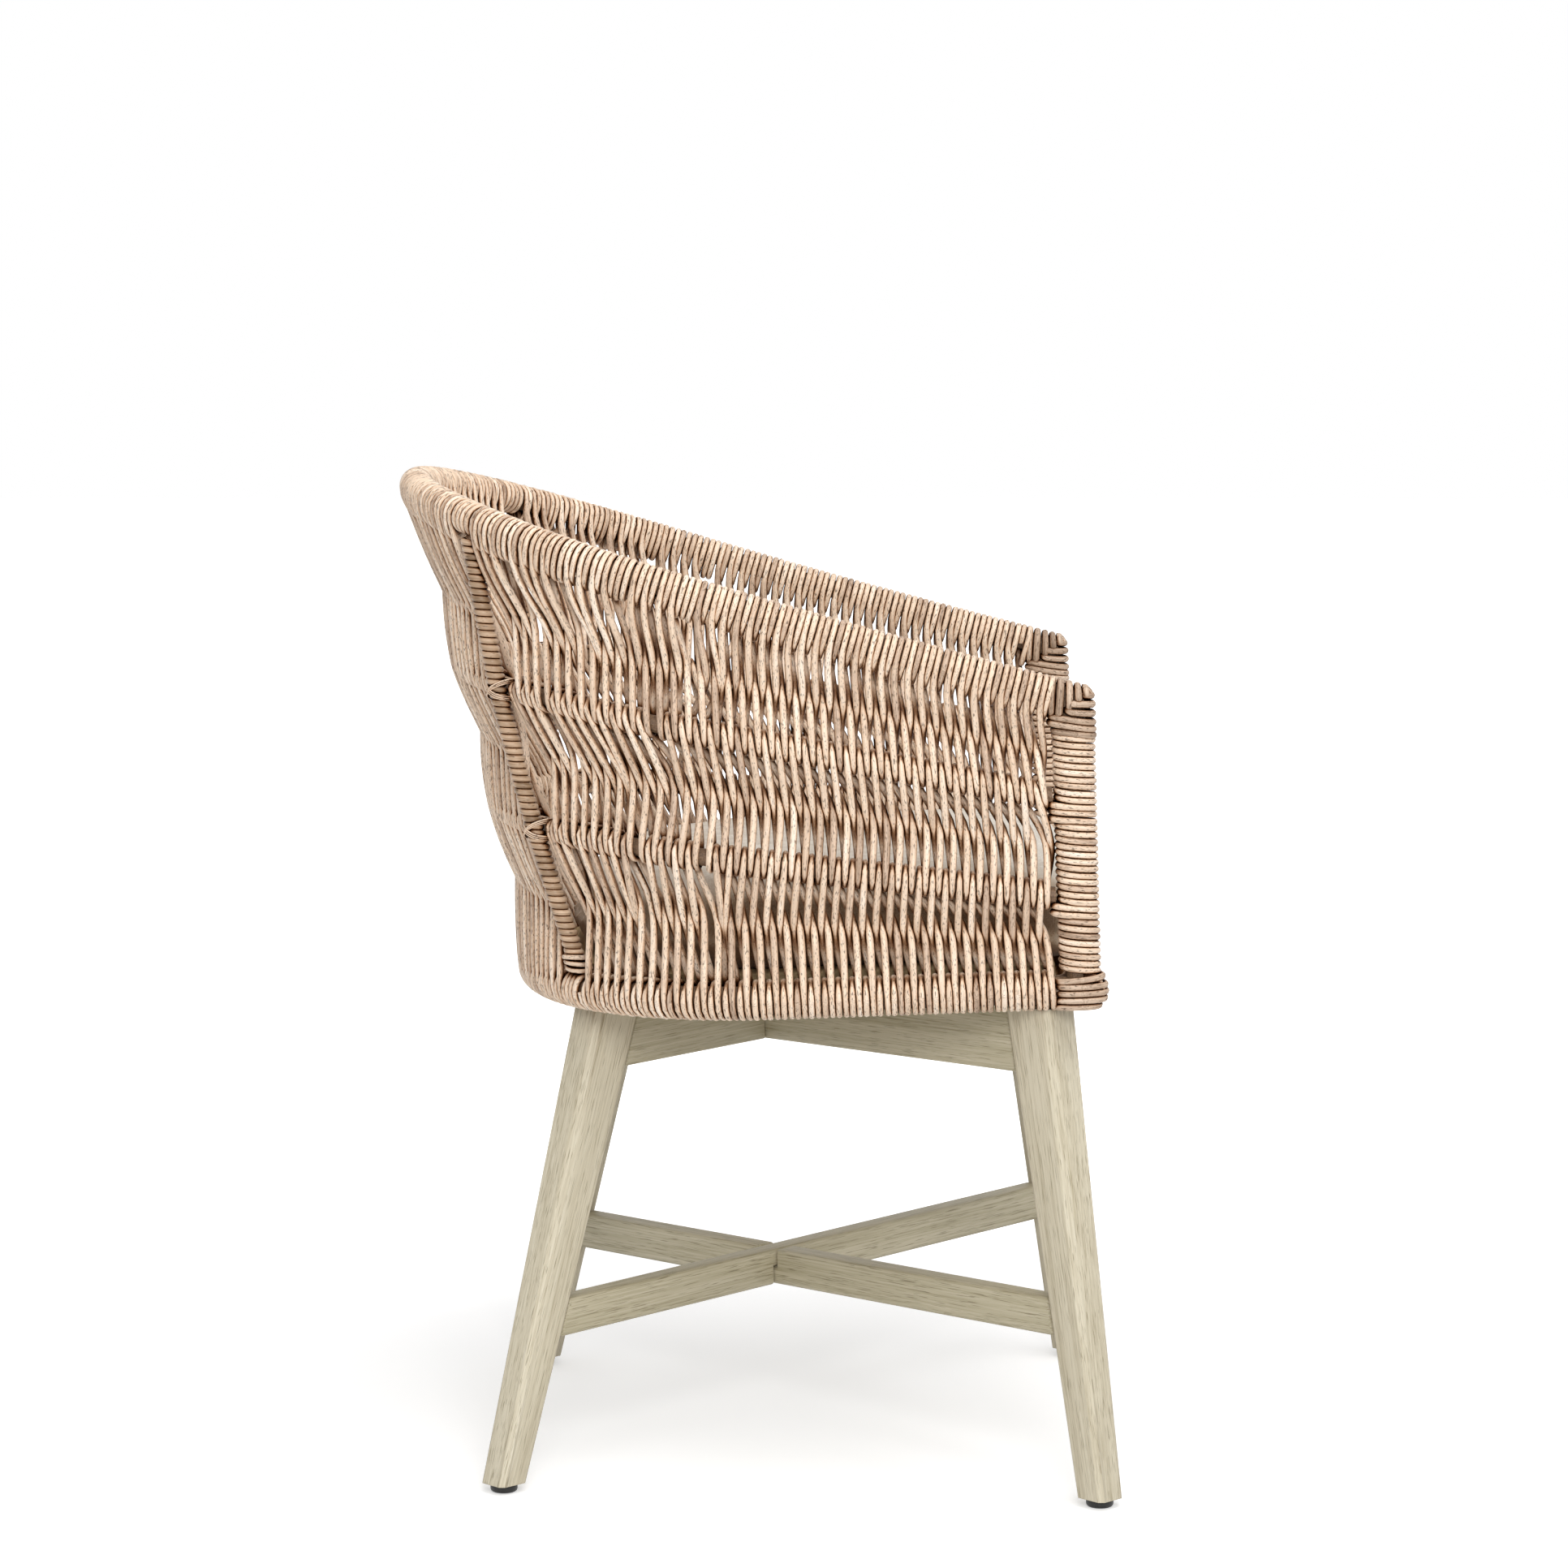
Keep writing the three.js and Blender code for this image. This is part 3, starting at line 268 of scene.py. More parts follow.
# Linen and cotton cloth, plain woven and undyed: the eye gets a warm off-white with a soft slub.
def wovenLinen():
    material, tree, shader = startMaterial("linenPlainWoven", {"Roughness": 0.92, "Sheen Weight": 0.25})
    where = addNode(tree, "TexCoord").outputs["Object"]
    # threads are 0.7 mm apart in the cloth, drawn 1.1 mm apart so that they show
    threads = [addNode(tree, "TexWave", {
        "wave_type": "BANDS", "bands_direction": direction, "Scale": 1 / 0.0011 / 3.14, "Distortion": 0.6,
        "Detail": 1, "Detail Scale": 0.02}, {"Vector": where}).outputs["Fac"] for direction in "XYZ"]
    first = addNode(tree, "Math", {"operation": "ADD"}, {0: threads[0], 1: threads[1]})
    weave = addNode(tree, "Math", {"operation": "ADD"}, {0: first, 1: threads[2]})
    # slubs about 11 mm long
    slub = addNode(tree, "TexNoise", {"Scale": 90, "Detail": 4}, {"Vector": where})
    level = addNode(tree, "Math", {"operation": "MULTIPLY_ADD", 1: 0.12}, {0: weave, 2: slub})
    colour = addNode(tree, "ValToRGB", {"stops": [(0.4, "#D2C7B6"), (0.7, "#E6DDCF"), (0.95, "#F1EBE0")]},
                     {"Fac": level})
    # painted shade lies on the cloth where the cane comes within about 60 mm of it, warm brown like light
    # bounced off the cane
    bounceShadeStops = [(0.25, "#7E5F40"), (0.6, "#D8C3A8"), (0.85, "#FFFFFF")]
    bounceShaded = shadeNear(tree, colour, 0.06, 4, bounceShadeStops)[1]
    bump = addNode(tree, "Bump", {"Strength": 0.5, "Distance": 0.0005}, {"Height": weave})
    joinUp(tree, shader, {"Base Color": bounceShaded, "Normal": bump})
    return material


# A plain finish with one grain in it
def grainedFinish(name, scale, detail, stops, roughness, bump=None):
    material, tree, shader = startMaterial(name, {"Roughness": roughness})
    where = addNode(tree, "TexCoord").outputs["Object"]
    grain = addNoises(tree, where, [(scale, {"Detail": detail})])[0]
    joinUp(tree, shader, {"Base Color": addNode(tree, "ValToRGB", {"stops": stops}, {"Fac": grain})})
    if bump:
        joinUp(tree, shader, {"Normal": addNode(tree, "Bump", bump, {"Height": grain})})
    return material


# Mild steel screw, zinc plated: dull silver with spangles 1.4 mm across
def platedScrew():
    material, tree, shader = startMaterial("steelZincPlated",
                                           {"Base Color": linear("#B9B9B4"), "Metallic": 1})
    where = addNode(tree, "TexCoord").outputs["Object"]
    spangle = addNode(tree, "TexNoise", {"Scale": 700}, {"Vector": where})
    rough = addNode(tree, "MapRange", spread(0, 1, 0.25, 0.45), {"Value": spangle})
    joinUp(tree, shader, {"Roughness": rough})
    return material


legStops = [(0.32, "#AEA389"), (0.46, "#C4BAA2"), (0.56, "#CFC6AF"), (0.7, "#D8D0BC")]
# the rails and stretchers take darker stops and darker pores: painted shade, for the shadow that the seat
# casts on them
shadedCrossStops = [(0.32, "#958B6F"), (0.46, "#AEA58A"), (0.56, "#BAB198"), (0.7, "#C6BDA6")]
timber = washedTimber("timberLimeWashed", legStops, "#85795E")
shadedCrossTimber = washedTimber("timberLimeWashedPaintedShade", shadedCrossStops, "#71674C")
linen = wovenLinen()
# Manau rattan pole, steam bent and sanded: a dull brown between the strands, with vessels 1.2 mm apart
bentPole = grainedFinish("rattanPoleSteamBent", (830, 830, 830), 2, [(0.3, "#5A4433"), (0.7, "#8A6C50")], 0.6,
                         {"Strength": 0.3, "Distance": 0.0003})
# Birch plywood and beech, sawn and left raw, hidden under the seat: pale grain 2.5 mm wide and 80 mm long
board = grainedFinish("plywoodSawn", (12, 400, 400), 3, [(0.35, "#8A7553"), (0.65, "#B59D74")], 0.75)
# Polypropylene glide, injection moulded: black with a satin grain of 0.6 mm
glidePlastic = grainedFinish("polypropyleneMoulded", (1800, 1800, 1800), 1,
                             [(0.3, "#131312"), (0.7, "#1E1D1C")], 0.42)
screwSteel = platedScrew()
print("materials ready")


# The seat plane, as in the solids: x sideways, y back, z square to it, in millimetres

seatPlane = {"height": 404, "lean": radians(2.2), "shiftBack": 2.1246}
strandWidth = 5.4
post = {"reach": 262, "radius": 11, "foot": 250, "head": 246}
hoops = {
    "bottom": {"halfWidth": 250, "bendStart": -20, "backReach": 181, "frontRise": 0, "backRise": 0,
               "radius": 11, "ribDegrees": 49, "straightShare": 1},
    "lower": {"halfWidth": 248.742, "bendStart": 2, "backReach": 205, "frontRise": 72, "backRise": 140,
              "radius": 7, "ribDegrees": 48, "straightShare": 1},
    "upper": {"halfWidth": 247.397, "bendStart": 26, "backReach": 230, "frontRise": 149, "backRise": 257,
              "radius": 7, "ribDegrees": 48, "straightShare": 1},
    "rim": {"halfWidth": 246, "bendStart": 49.5, "backReach": 264, "frontRise": 229, "backRise": 404.3,
            "radius": 8.5, "ribDegrees": 46, "straightShare": 0.87},
}
panelStart = post["radius"] + strandWidth + 3
ribSlotHalf = 15
besideRib = 10.7  # mm from a rib's middle to the loop that lies against it


def toWorld(points):
    x, y, z = np.asarray(points, dtype=float).T
    c, s = cos(seatPlane["lean"]), sin(seatPlane["lean"])
    return np.stack([x, y * c + z * s + seatPlane["shiftBack"], -y * s + z * c + seatPlane["height"]], 1) * mm


def hoopRise(hoop, y):
    share = (y + post["reach"]) / (hoop["backReach"] + post["reach"])
    bent = hoop["straightShare"] * share + (1 - hoop["straightShare"]) * share * share
    return hoop["frontRise"] + (hoop["backRise"] - hoop["frontRise"]) * bent


# How far along a line each of its points lies, and the point of a line at a distance
def distancesOf(line):
    return np.concatenate([[0], np.cumsum(np.linalg.norm(np.diff(line, axis=0), axis=1))])


def pointOn(line, distances, distance):
    return np.array([np.interp(distance, distances, line[:, i]) for i in range(3)])


# Points of a hoop from the right post round the back to the left post, and the distance of each
def layOut(hoop):
    wide, bendStart = hoop["halfWidth"], hoop["bendStart"]
    right = [(-wide, y) for y in np.linspace(-post["reach"], bendStart, 60)[:-1]]
    bend = [(-wide * cos(a), bendStart + (hoop["backReach"] - bendStart) * sin(a))
            for a in np.linspace(0, pi, 240)]
    left = [(-x, y) for x, y in reversed(right)]
    line = np.array([(x, y, hoopRise(hoop, y)) for x, y in right + bend + left])
    hoop["line"] = line
    hoop["along"] = distancesOf(line)
    hoop["length"] = hoop["along"][-1]
    hoop["bearing"] = np.unwrap(np.arctan2(line[:, 1], -line[:, 0]))
    ribX = -wide * cos(radians(hoop["ribDegrees"]))
    first = line[:len(line) // 2]
    nearest = np.argmin(np.abs(first[:, 0] - ribX) + (first[:, 1] < bendStart) * 999)
    hoop["ribPlace"] = hoop["along"][nearest]


for hoopFacts in hoops.values():
    layOut(hoopFacts)


def unit(vector):
    return vector / np.linalg.norm(vector)


def pointAt(hoop, distance):
    return pointOn(hoop["line"], hoop["along"], distance)


def stationAt(hoop, distance):
    onward = unit(pointAt(hoop, min(distance + 2, hoop["length"])) - pointAt(hoop, max(distance - 2, 0)))
    out = unit(np.array([-onward[1], onward[0], 0]))
    return {"at": pointAt(hoop, distance), "onward": onward, "out": out}


# The weave lies in three stretches: from each post to its rib, and round the back from rib to rib.
# Distances run along a hoop from the right post, and the left side is the right one mirrored.
loopPitch = 10.7  # mm, two strands a loop, as counted in the photograph


def stretchEnds(hoop, stretch):
    if stretch == "Back":
        return hoop["ribPlace"] + ribSlotHalf, hoop["length"] - hoop["ribPlace"] - ribSlotHalf
    return panelStart, hoop["ribPlace"] - ribSlotHalf


def loopsIn(hoop, stretch):
    start, end = stretchEnds(hoop, stretch)
    return round((end - start) / loopPitch)


def placeIn(hoop, stretch, loop):
    start, end = stretchEnds(hoop, stretch)
    return start + (end - start) * min(max(loop / loopsIn(hoop, stretch), 0), 1)


# The direction from the seat's middle to a point of a hoop, and back again
def bearingAt(hoop, distance):
    return np.interp(distance, hoop["along"], hoop["bearing"])


def pointTowards(hoop, bearing):
    return pointAt(hoop, np.interp(bearing, hoop["bearing"], hoop["along"]))


# Makes a mesh a smooth piece of the chair, in one material, that stands for the named nodes.
# Edges that turn by more than sharpFrom degrees stay sharp.
def addPiece(mesh, material, nodes, sharpFrom=None):
    mesh.polygons.foreach_set("use_smooth", [True] * len(mesh.polygons))
    if sharpFrom:
        mesh.set_sharp_from_angle(angle=radians(sharpFrom))
    mesh.materials.append(material)
    piece = addObject(mesh.name, mesh)
    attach(piece, "chair")
    if nodes:
        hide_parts(*nodes)


# Gives each point of a mesh its place in the material's grain
def setPlaces(mesh, name, places):
    layer = mesh.attributes.new(name, "FLOAT_VECTOR", "POINT")
    layer.data.foreach_set("vector", places.astype(np.float32).ravel())


def fullTurn(steps):
    return np.linspace(0, 2 * pi, steps, endpoint=False)


# The faces of a tube whose points are numbered from first on, ring by ring. An open one gets two lids.
def tubeFaces(first, rings, sides, closed=False):
    faces = []
    for i in range(rings if closed else rings - 1):
        a, b = first + i * sides, first + (i + 1) % rings * sides
        faces += [(a + j, a + (j + 1) % sides, b + (j + 1) % sides, b + j) for j in range(sides)]
    if not closed:
        end = first + rings * sides
        faces += [tuple(range(first + sides - 1, first - 1, -1)), tuple(range(end - sides, end))]
    return faces


# Strands: every strand is swept into a mesh that holds many of them

def newBundle():
    return {"points": [], "faces": [], "places": [], "tones": [], "count": 0}


# Sweeps a strand along a path in the seat plane's frame. radius and tones are one number or one a point.
# facing gives the direction of each ring's first axis, which squeeze makes the other axis wider than.
def addStrand(bundle, path, radius, tones, sides=10, closed=False, squeeze=1.0, facing=None):
    path = np.asarray(path, dtype=float)
    count = len(path)
    radii = np.broadcast_to(np.asarray(radius, dtype=float), (count,))
    tones = np.broadcast_to(np.asarray(tones, dtype=float), (count,))
    if closed:
        tangents = np.roll(path, -1, axis=0) - np.roll(path, 1, axis=0)
    else:
        tangents = np.gradient(path, axis=0)
    tangents = tangents / np.linalg.norm(tangents, axis=1)[:, None]
    if facing is None:
        guess = up if abs(tangents[0][2]) < 0.9 else np.array([1.0, 0.0, 0.0])
        side = unit(np.cross(tangents[0], guess))
        facing = []
        for tangent in tangents:
            side = unit(side - tangent * side.dot(tangent))
            facing.append(side)
        facing = np.array(facing)
    else:
        facing = np.array([unit(f - t * f.dot(t)) for f, t in zip(facing, tangents)])
    if closed:  # take up the twist that is left over after one turn
        last = unit(facing[-1] - tangents[0] * facing[-1].dot(tangents[0]))
        twist = atan2(np.cross(last, facing[0]).dot(tangents[0]), last.dot(facing[0]))
        turns = twist * np.arange(count)[:, None] / count
        facing = facing * np.cos(turns) + np.cross(tangents, facing) * np.sin(turns)
    across = np.cross(tangents, facing)
    angles = fullTurn(sides)
    cosines, sines = np.cos(angles), np.sin(angles)
    rings = (path[:, None, :] + radii[:, None, None] * (cosines[None, :, None] * facing[:, None, :]
             + squeeze * sines[None, :, None] * across[:, None, :]))
    shift = chance.uniform(0, 900)  # mm, so that no two strands show the same stretch of pattern
    places = np.zeros((count, sides, 3))
    places[:, :, 0] = (distancesOf(path) + shift)[:, None]
    places[:, :, 1] = radii[:, None] * cosines[None, :] + shift
    places[:, :, 2] = radii[:, None] * sines[None, :]
    bundle["faces"] += tubeFaces(bundle["count"], count, sides, closed)
    bundle["points"].append(toWorld(rings.reshape(-1, 3)))
    bundle["places"].append(places.reshape(-1, 3) * mm)
    bundle["tones"].append(np.repeat(tones, sides))
    bundle["count"] += count * sides


def finishBundle(bundle, name, material, nodes):
    mesh = bpy.data.meshes.new(name)
    mesh.from_pydata(np.concatenate(bundle["points"]).tolist(), [], bundle["faces"])
    setPlaces(mesh, "strandPlace", np.concatenate(bundle["places"]))
    toneLayer = mesh.attributes.new("strandTone", "FLOAT", "POINT")
    toneLayer.data.foreach_set("value", np.concatenate(bundle["tones"]).astype(np.float32))
    addPiece(mesh, material, nodes)


# Most strands are pale straw, some are taupe
def pickTone():
    if chance.random() < 0.2:
        return chance.uniform(0.18, 0.48)
    return min(max(chance.gauss(0.7, 0.12), 0.2), 1.0)


def mirrored(points):
    return [np.array([-point[0], point[1], point[2]]) for point in points]


# The lacing. A strand goes over the top hoop, down the outside, in through the waist, under the low
# hoop, up the outside, in through the waist again and over the top hoop once more.

lacing = {
    "strand": 2.95, "wrapSteps": 7, "runSteps": 6, "looseness": 0.45, "bow": (0.4, 2.0), "interlock": 0.75,
    # thick: spread of a strand's radius, steady: how long it keeps the direction that it leaves with
    "thick": (0.95, 1.02), "steady": 0.9,
    # first: mm from the stretch's start to the first wrap over the top and the low hoop
    # bend: mm that a strand bends nearer the back than its wrap, as it leaves the top hoop
    # waist: share of the band's height at which strands go in
    # goesIn, backIn: mm that the waist lies nearer the post than the bend above it, or the low hoop's wrap
    # below it, as pairs of a share of the stretch from post to rib and the mm there
    # back: goesIn and backIn all round the back
    "bands": {
        "Upper": {"hoops": ("rim", "upper"), "first": (3.2, 4.5), "bend": 3.6, "waist": 0.586, "steady": 1.25,
                  "goesIn": ((0, 4.5), (0.05, 2), (0.25, 0), (0.45, -1), (0.64, 2), (0.71, 6), (0.79, 11),
                             (0.9, 22)),
                  "backIn": ((0, -4.5), (0.1, -3.5), (0.27, -1.5), (0.6, -0.5), (0.8, -2), (1, -4)),
                  "back": (14, -2)},
        "Middle": {"hoops": ("upper", "lower"), "first": (9.9, 4.7), "bend": 0, "waist": 0.49, "steady": 0.9,
                   "goesIn": ((0, 5.5), (0.1, 4), (0.25, 2.5), (0.5, 3), (0.6, 7), (0.7, 12), (0.78, 19),
                              (1, 24)),
                   "backIn": ((0, 1.5), (0.3, 2.7), (0.6, 4), (0.72, 5), (0.85, 0), (1, -2)),
                   "back": (12, 0)},
        "Lower": {"hoops": ("lower", "bottom"), "first": (10, 2.6), "bend": 0, "waist": 0.45, "steady": 0.9,
                  "goesIn": ((0, -2.3), (0.1, -4), (0.62, -4), (0.75, 2), (0.85, 8), (0.92, 15), (1, 19)),
                  "backIn": ((0, -3), (0.1, -1), (1, -2)), "back": (9, -1)},
    },
}


# The points between two ends that are left and met in given directions
def bendBetween(fromPoint, fromWay, toPoint, toWay, steps):
    points = []
    for i in range(1, steps):
        s = i / steps
        points.append((2 * s**3 - 3 * s**2 + 1) * fromPoint + (s**3 - 2 * s**2 + s) * fromWay
                      + (3 * s**2 - 2 * s**3) * toPoint + (s**3 - s**2) * toWay)
    return points


def wrapStrandRadius(hoop, stretch):
    start, end = stretchEnds(hoop, stretch)
    return min(lacing["strand"], (end - start) / loopsIn(hoop, stretch) / 2 * 0.49)


# The slots of a hoop that a band's loops take. A hoop with more slots than loops skips some near the rib,
# and on the sides one more loop lies against the rib.
def slotsFor(bandName, hoop, stretch):
    top, low = (hoops[key] for key in lacing["bands"][bandName]["hoops"])
    loops = min(loopsIn(top, stretch), loopsIn(low, stretch))
    spare = loopsIn(hoop, stretch) - loops
    calm, more = (0, 0) if stretch == "Back" else (0.6, 1)
    return [k + round(spare * max(0, (k / loops - calm) / (1 - calm))) for k in range(loops + more)]


def nearerPost(band, key, stretch, share):
    if stretch == "Back":
        return band["back"][0 if key == "goesIn" else 1]
    return np.interp(share, *zip(*band[key]))


# One turn of strand over a hoop, from the inside to the outside. It lies square to the rim, and in line
# with the strand on the rings.
def wrapOver(hoop, stretch, distance, waistPoint):
    station = stationAt(hoop, distance + chance.uniform(-lacing["looseness"], lacing["looseness"]))
    # rise points away from the waist, out points off the seat
    rise = unit(station["at"] - waistPoint)
    if hoop is hoops["rim"]:
        rise = unit(rise - station["onward"] * rise.dot(station["onward"]))
    out = unit(np.cross(station["onward"], rise))
    out = out if out.dot(station["out"]) > 0 else -out
    thin = wrapStrandRadius(hoop, stretch)
    reach = hoop["radius"] + strandWidth - thin
    lift = asin(reach / np.linalg.norm(station["at"] - waistPoint))
    angles = np.linspace(pi + lift, -lift, lacing["wrapSteps"])
    points = [station["at"] + reach * (cos(a) * out + sin(a) * rise) for a in angles]
    return {"points": points, "out": out, "thin": thin,
            "comes": -sin(lift) * out + cos(lift) * rise,
            "leaves": -sin(lift) * out - cos(lift) * rise}


def laceBand(bandName, stretch):
    band = lacing["bands"][bandName]
    source = "Back" if stretch == "Back" else "Right"
    top, low = (hoops[key] for key in band["hoops"])
    topStart, lowStart = (stretchEnds(hoop, source)[0] for hoop in (top, low))
    topPlaces, lowPlaces = ([placeIn(hoop, source, slot) + first for slot in slotsFor(bandName, hoop, source)]
                            for hoop, first in zip((top, low), band["first"]))
    shares = [(k + 0.5) / len(topPlaces) for k in range(len(topPlaces))]
    if source == "Right":
        topPlaces[-1] = min(topPlaces[-1], top["ribPlace"] - besideRib)
        lowPlaces[-1] = min(lowPlaces[-1], low["ribPlace"] - besideRib)

    def waistAt(bearing):
        upper, lower = pointTowards(top, bearing), pointTowards(low, bearing)
        return upper + (lower - upper) * band["waist"]

    # Each strand goes in through a gap between two that come back, nearly halfway
    returns = [bearingAt(low, max(place - nearerPost(band, "backIn", source, share), lowStart - 3))
               for place, share in zip(lowPlaces, shares)]
    gaps = [returns[0] * 1.5 - returns[1] * 0.5] + [(a + b) / 2 for a, b in zip(returns, returns[1:])]
    wraps = []
    for topPlace, lowPlace, returnsAt, share in zip(topPlaces, lowPlaces, returns, shares):
        wanted = topPlace + band["bend"] - nearerPost(band, "goesIn", source, share)
        wanted = bearingAt(top, max(wanted, topStart - 8))
        nearest = min(gaps, key=lambda gap: abs(gap - wanted))
        entry, back = waistAt(wanted + (nearest - wanted) * lacing["interlock"]), waistAt(returnsAt)
        wraps.append((wrapOver(top, source, topPlace, entry), entry, band["steady"]))
        wraps.append((wrapOver(low, source, lowPlace, back), back, lacing["steady"]))

    path, radii, tones = [], [], []

    def lay(points, radius, tone):
        path.extend(points)
        radii.extend([radius] * len(points))
        tones.extend([tone] * len(points))

    steps, steadyIn = lacing["runSteps"], lacing["steady"]
    for (wrap, waist, steady), following in zip(wraps, [pair[0] for pair in wraps[1:]] + [None]):
        tone = pickTone()
        lay(wrap["points"], wrap["thin"], tone)
        if following is None:
            continue
        start, end = wrap["points"][-1], following["points"][0]
        through = unit(unit(waist - start) * 2 + unit(end - waist))
        halves = (
            (start, wrap["leaves"], waist, through, steady, wrap["out"]),
            (waist, through, end, following["comes"], steadyIn, -wrap["out"]),
        )
        for fromPoint, fromWay, toPoint, toWay, share, side in halves:
            span = np.linalg.norm(toPoint - fromPoint)
            points = bendBetween(fromPoint, fromWay * span * share, toPoint, toWay * span * steadyIn, steps)
            bow = side * chance.uniform(*lacing["bow"])
            points = [point + bow * sin(pi * (i + 1) / steps) for i, point in enumerate(points)]
            if toPoint is waist:
                points.append(waist)
            lay(points, lacing["strand"] * chance.uniform(*lacing["thick"]), tone)
    bundle = newBundle()
    addStrand(bundle, mirrored(path) if stretch == "Left" else path, radii, tones)
    finishBundle(bundle, f"weave{bandName}{stretch}", wovenCane,
                 [f"weave_{bandName.lower()}_{stretch.lower()}"])


for bandKey in lacing["bands"]:
    for stretchKey in ("Right", "Back", "Left"):
        laceBand(bandKey, stretchKey)
print("weave laced")


# Short wraps that fill the rim and the bottom hoop between the laced loops

shortWraps = {"rimFirst": 3.2, "rimDepth": 19.6, "bottomFirst": 2.6, "steps": 22, "astray": 0.3,
              "deeper": 1.2, "ribWraps": 5, "ribStrand": 2.8}


# A closed loop round a hoop, deeper below it than above it
def shortWrap(bundle, station, hoop, radius, depth, mirror):
    rise = unit(np.cross(station["out"], station["onward"]))
    rise = rise if rise[2] > 0 else -rise
    reach = hoop["radius"] + strandWidth - radius
    path = [station["at"] + station["out"] * reach * cos(a)
            + rise * (reach if sin(a) > 0 else depth) * sin(a)
            for a in fullTurn(shortWraps["steps"])]
    addStrand(bundle, mirrored(path) if mirror else path, radius, pickTone(), closed=True)


# Without a depth the wraps lie close round the hoop
def wrapHoop(hoopName, bandName, first, depth, nodeName):
    hoop = hoops[hoopName]
    bundle = newBundle()
    for stretch in ("Right", "Back", "Left"):
        source = "Back" if stretch == "Back" else "Right"
        start, count = stretchEnds(hoop, source)[0], loopsIn(hoop, source)
        radius = wrapStrandRadius(hoop, source)
        laced = slotsFor(bandName, hoop, source)
        byPost = source == "Right" and hoopName == "rim"
        slots = [slot + 0.5 for slot in range(-1 if byPost else 0, count)]
        slots += [slot for slot in range(count) if slot not in laced]
        for slot in slots:
            distance = (placeIn(hoop, source, slot) if slot > 0 else start - loopPitch / 2) + first
            reach = hoop["radius"] + strandWidth - radius
            if depth:
                reach = depth + chance.uniform(-shortWraps["deeper"], shortWraps["deeper"])
            station = stationAt(hoop, distance + chance.uniform(-shortWraps["astray"], shortWraps["astray"]))
            shortWrap(bundle, station, hoop, radius, reach, stretch == "Left")
    count, radius = shortWraps["ribWraps"], shortWraps["ribStrand"]
    pitch = 2 * ribSlotHalf / (count + 0.5)
    for mirror in (False, True):
        for i in range(1, count):
            station = stationAt(hoop, hoop["ribPlace"] + (i - (count - 1) / 2) * pitch)
            shortWrap(bundle, station, hoop, radius, hoop["radius"] + strandWidth - radius, mirror)
    finishBundle(bundle, f"{hoopName}Wraps", wovenCane, [nodeName])


wrapHoop("rim", "Upper", shortWraps["rimFirst"], shortWraps["rimDepth"], "rim_binding")
wrapHoop("bottom", "Lower", shortWraps["bottomFirst"], 0, "bottom_binding")
print("rim and bottom hoop wrapped")


# Front posts and rail: one strand wound close round each pole

winding = {
    "pitch": 5.35, "steps": 20, "uneven": 0.26, "knobTop": 13.6, "cornerDrop": 27, "railEnd": 17,
    # where a ring meets the post the turns are drawn back round it: mm back, its middle's drop, half height
    "ringReach": 5.5, "ringBelow": 9.5, "ringHalf": 6.5,
    # mm that the turns reach further forward at the post's foot and head, and that they tilt
    "forwardLow": 1.0, "forwardHigh": 2.6, "tilt": 1.0,
}


# Winds a strand from start to end. stretchBack moves a point of it where a turn is drawn back.
def wind(bundle, start, end, poleRadius, hand=1, stretchBack=None):
    axis = unit(end - start)
    side = unit(np.cross(np.array([0, 1.0, 0]), axis))
    forward = np.cross(axis, side)
    pitch, steps = winding["pitch"], winding["steps"]
    total = int(np.linalg.norm(end - start) / pitch * steps)
    radius = strandWidth / 2
    path, tones = [], []
    wander = [chance.gauss(0, winding["uneven"]) for _ in range(2 * total // steps + 3)]
    for i in range(total + 1):
        angle = hand * 2 * pi * i / steps
        astray = np.interp(2 * i / steps, range(len(wander)), wander)
        if i % steps == 0:
            tone = pickTone()
        out = side * cos(angle) + forward * sin(angle)
        place = start + axis * (pitch * i / steps + astray) + out * (poleRadius + radius - abs(astray))
        path.append(place + stretchBack(place, out) if stretchBack else place)
        tones.append(tone)
    addStrand(bundle, path, radius, tones)


# The foot, the head and the direction of a post
def postLine(side):
    foot = np.array([side * post["foot"], -post["reach"], 0.0])
    head = np.array([side * post["head"], -post["reach"], hoops["rim"]["frontRise"]])
    return foot, head, unit(head - foot)


def dressPost(side, sideName):
    foot, head, axis = postLine(side)
    middles = [hoops[key]["frontRise"] - winding["ringBelow"] for key in ("lower", "upper")]

    def reachBack(place, out):
        near = min(abs(place[2] - middle) for middle in middles)
        back = winding["ringReach"] if near < winding["ringHalf"] else 0
        height = place[2] / hoops["rim"]["frontRise"]
        forward = winding["forwardLow"] + (winding["forwardHigh"] - winding["forwardLow"]) * height
        return np.array([0, max(out[1], 0) ** 0.5 * back + min(out[1], 0) * forward,
                         winding["tilt"] * out[1]])

    bundle = newBundle()
    wind(bundle, foot + axis * winding["knobTop"], head - axis * winding["cornerDrop"], post["radius"], side,
         reachBack)
    finishBundle(bundle, f"postWinding{sideName}", wovenCane, [f"post_winding_{sideName.lower()}"])


def dressFrontRail():
    bundle = newBundle()
    reach = post["foot"] - winding["railEnd"]
    wind(bundle, np.array([-reach, -post["reach"], 0.0]), np.array([reach, -post["reach"], 0.0]),
         hoops["bottom"]["radius"])
    finishBundle(bundle, "frontRailWinding", wovenCane, ["front_rail_binding"])


for sideSign, sideKey in bothSides:
    dressPost(sideSign, sideKey)
dressFrontRail()
print("posts and front rail wound")


# Corners. At the top, upright wraps round the rim's end step down against level wraps round the post.

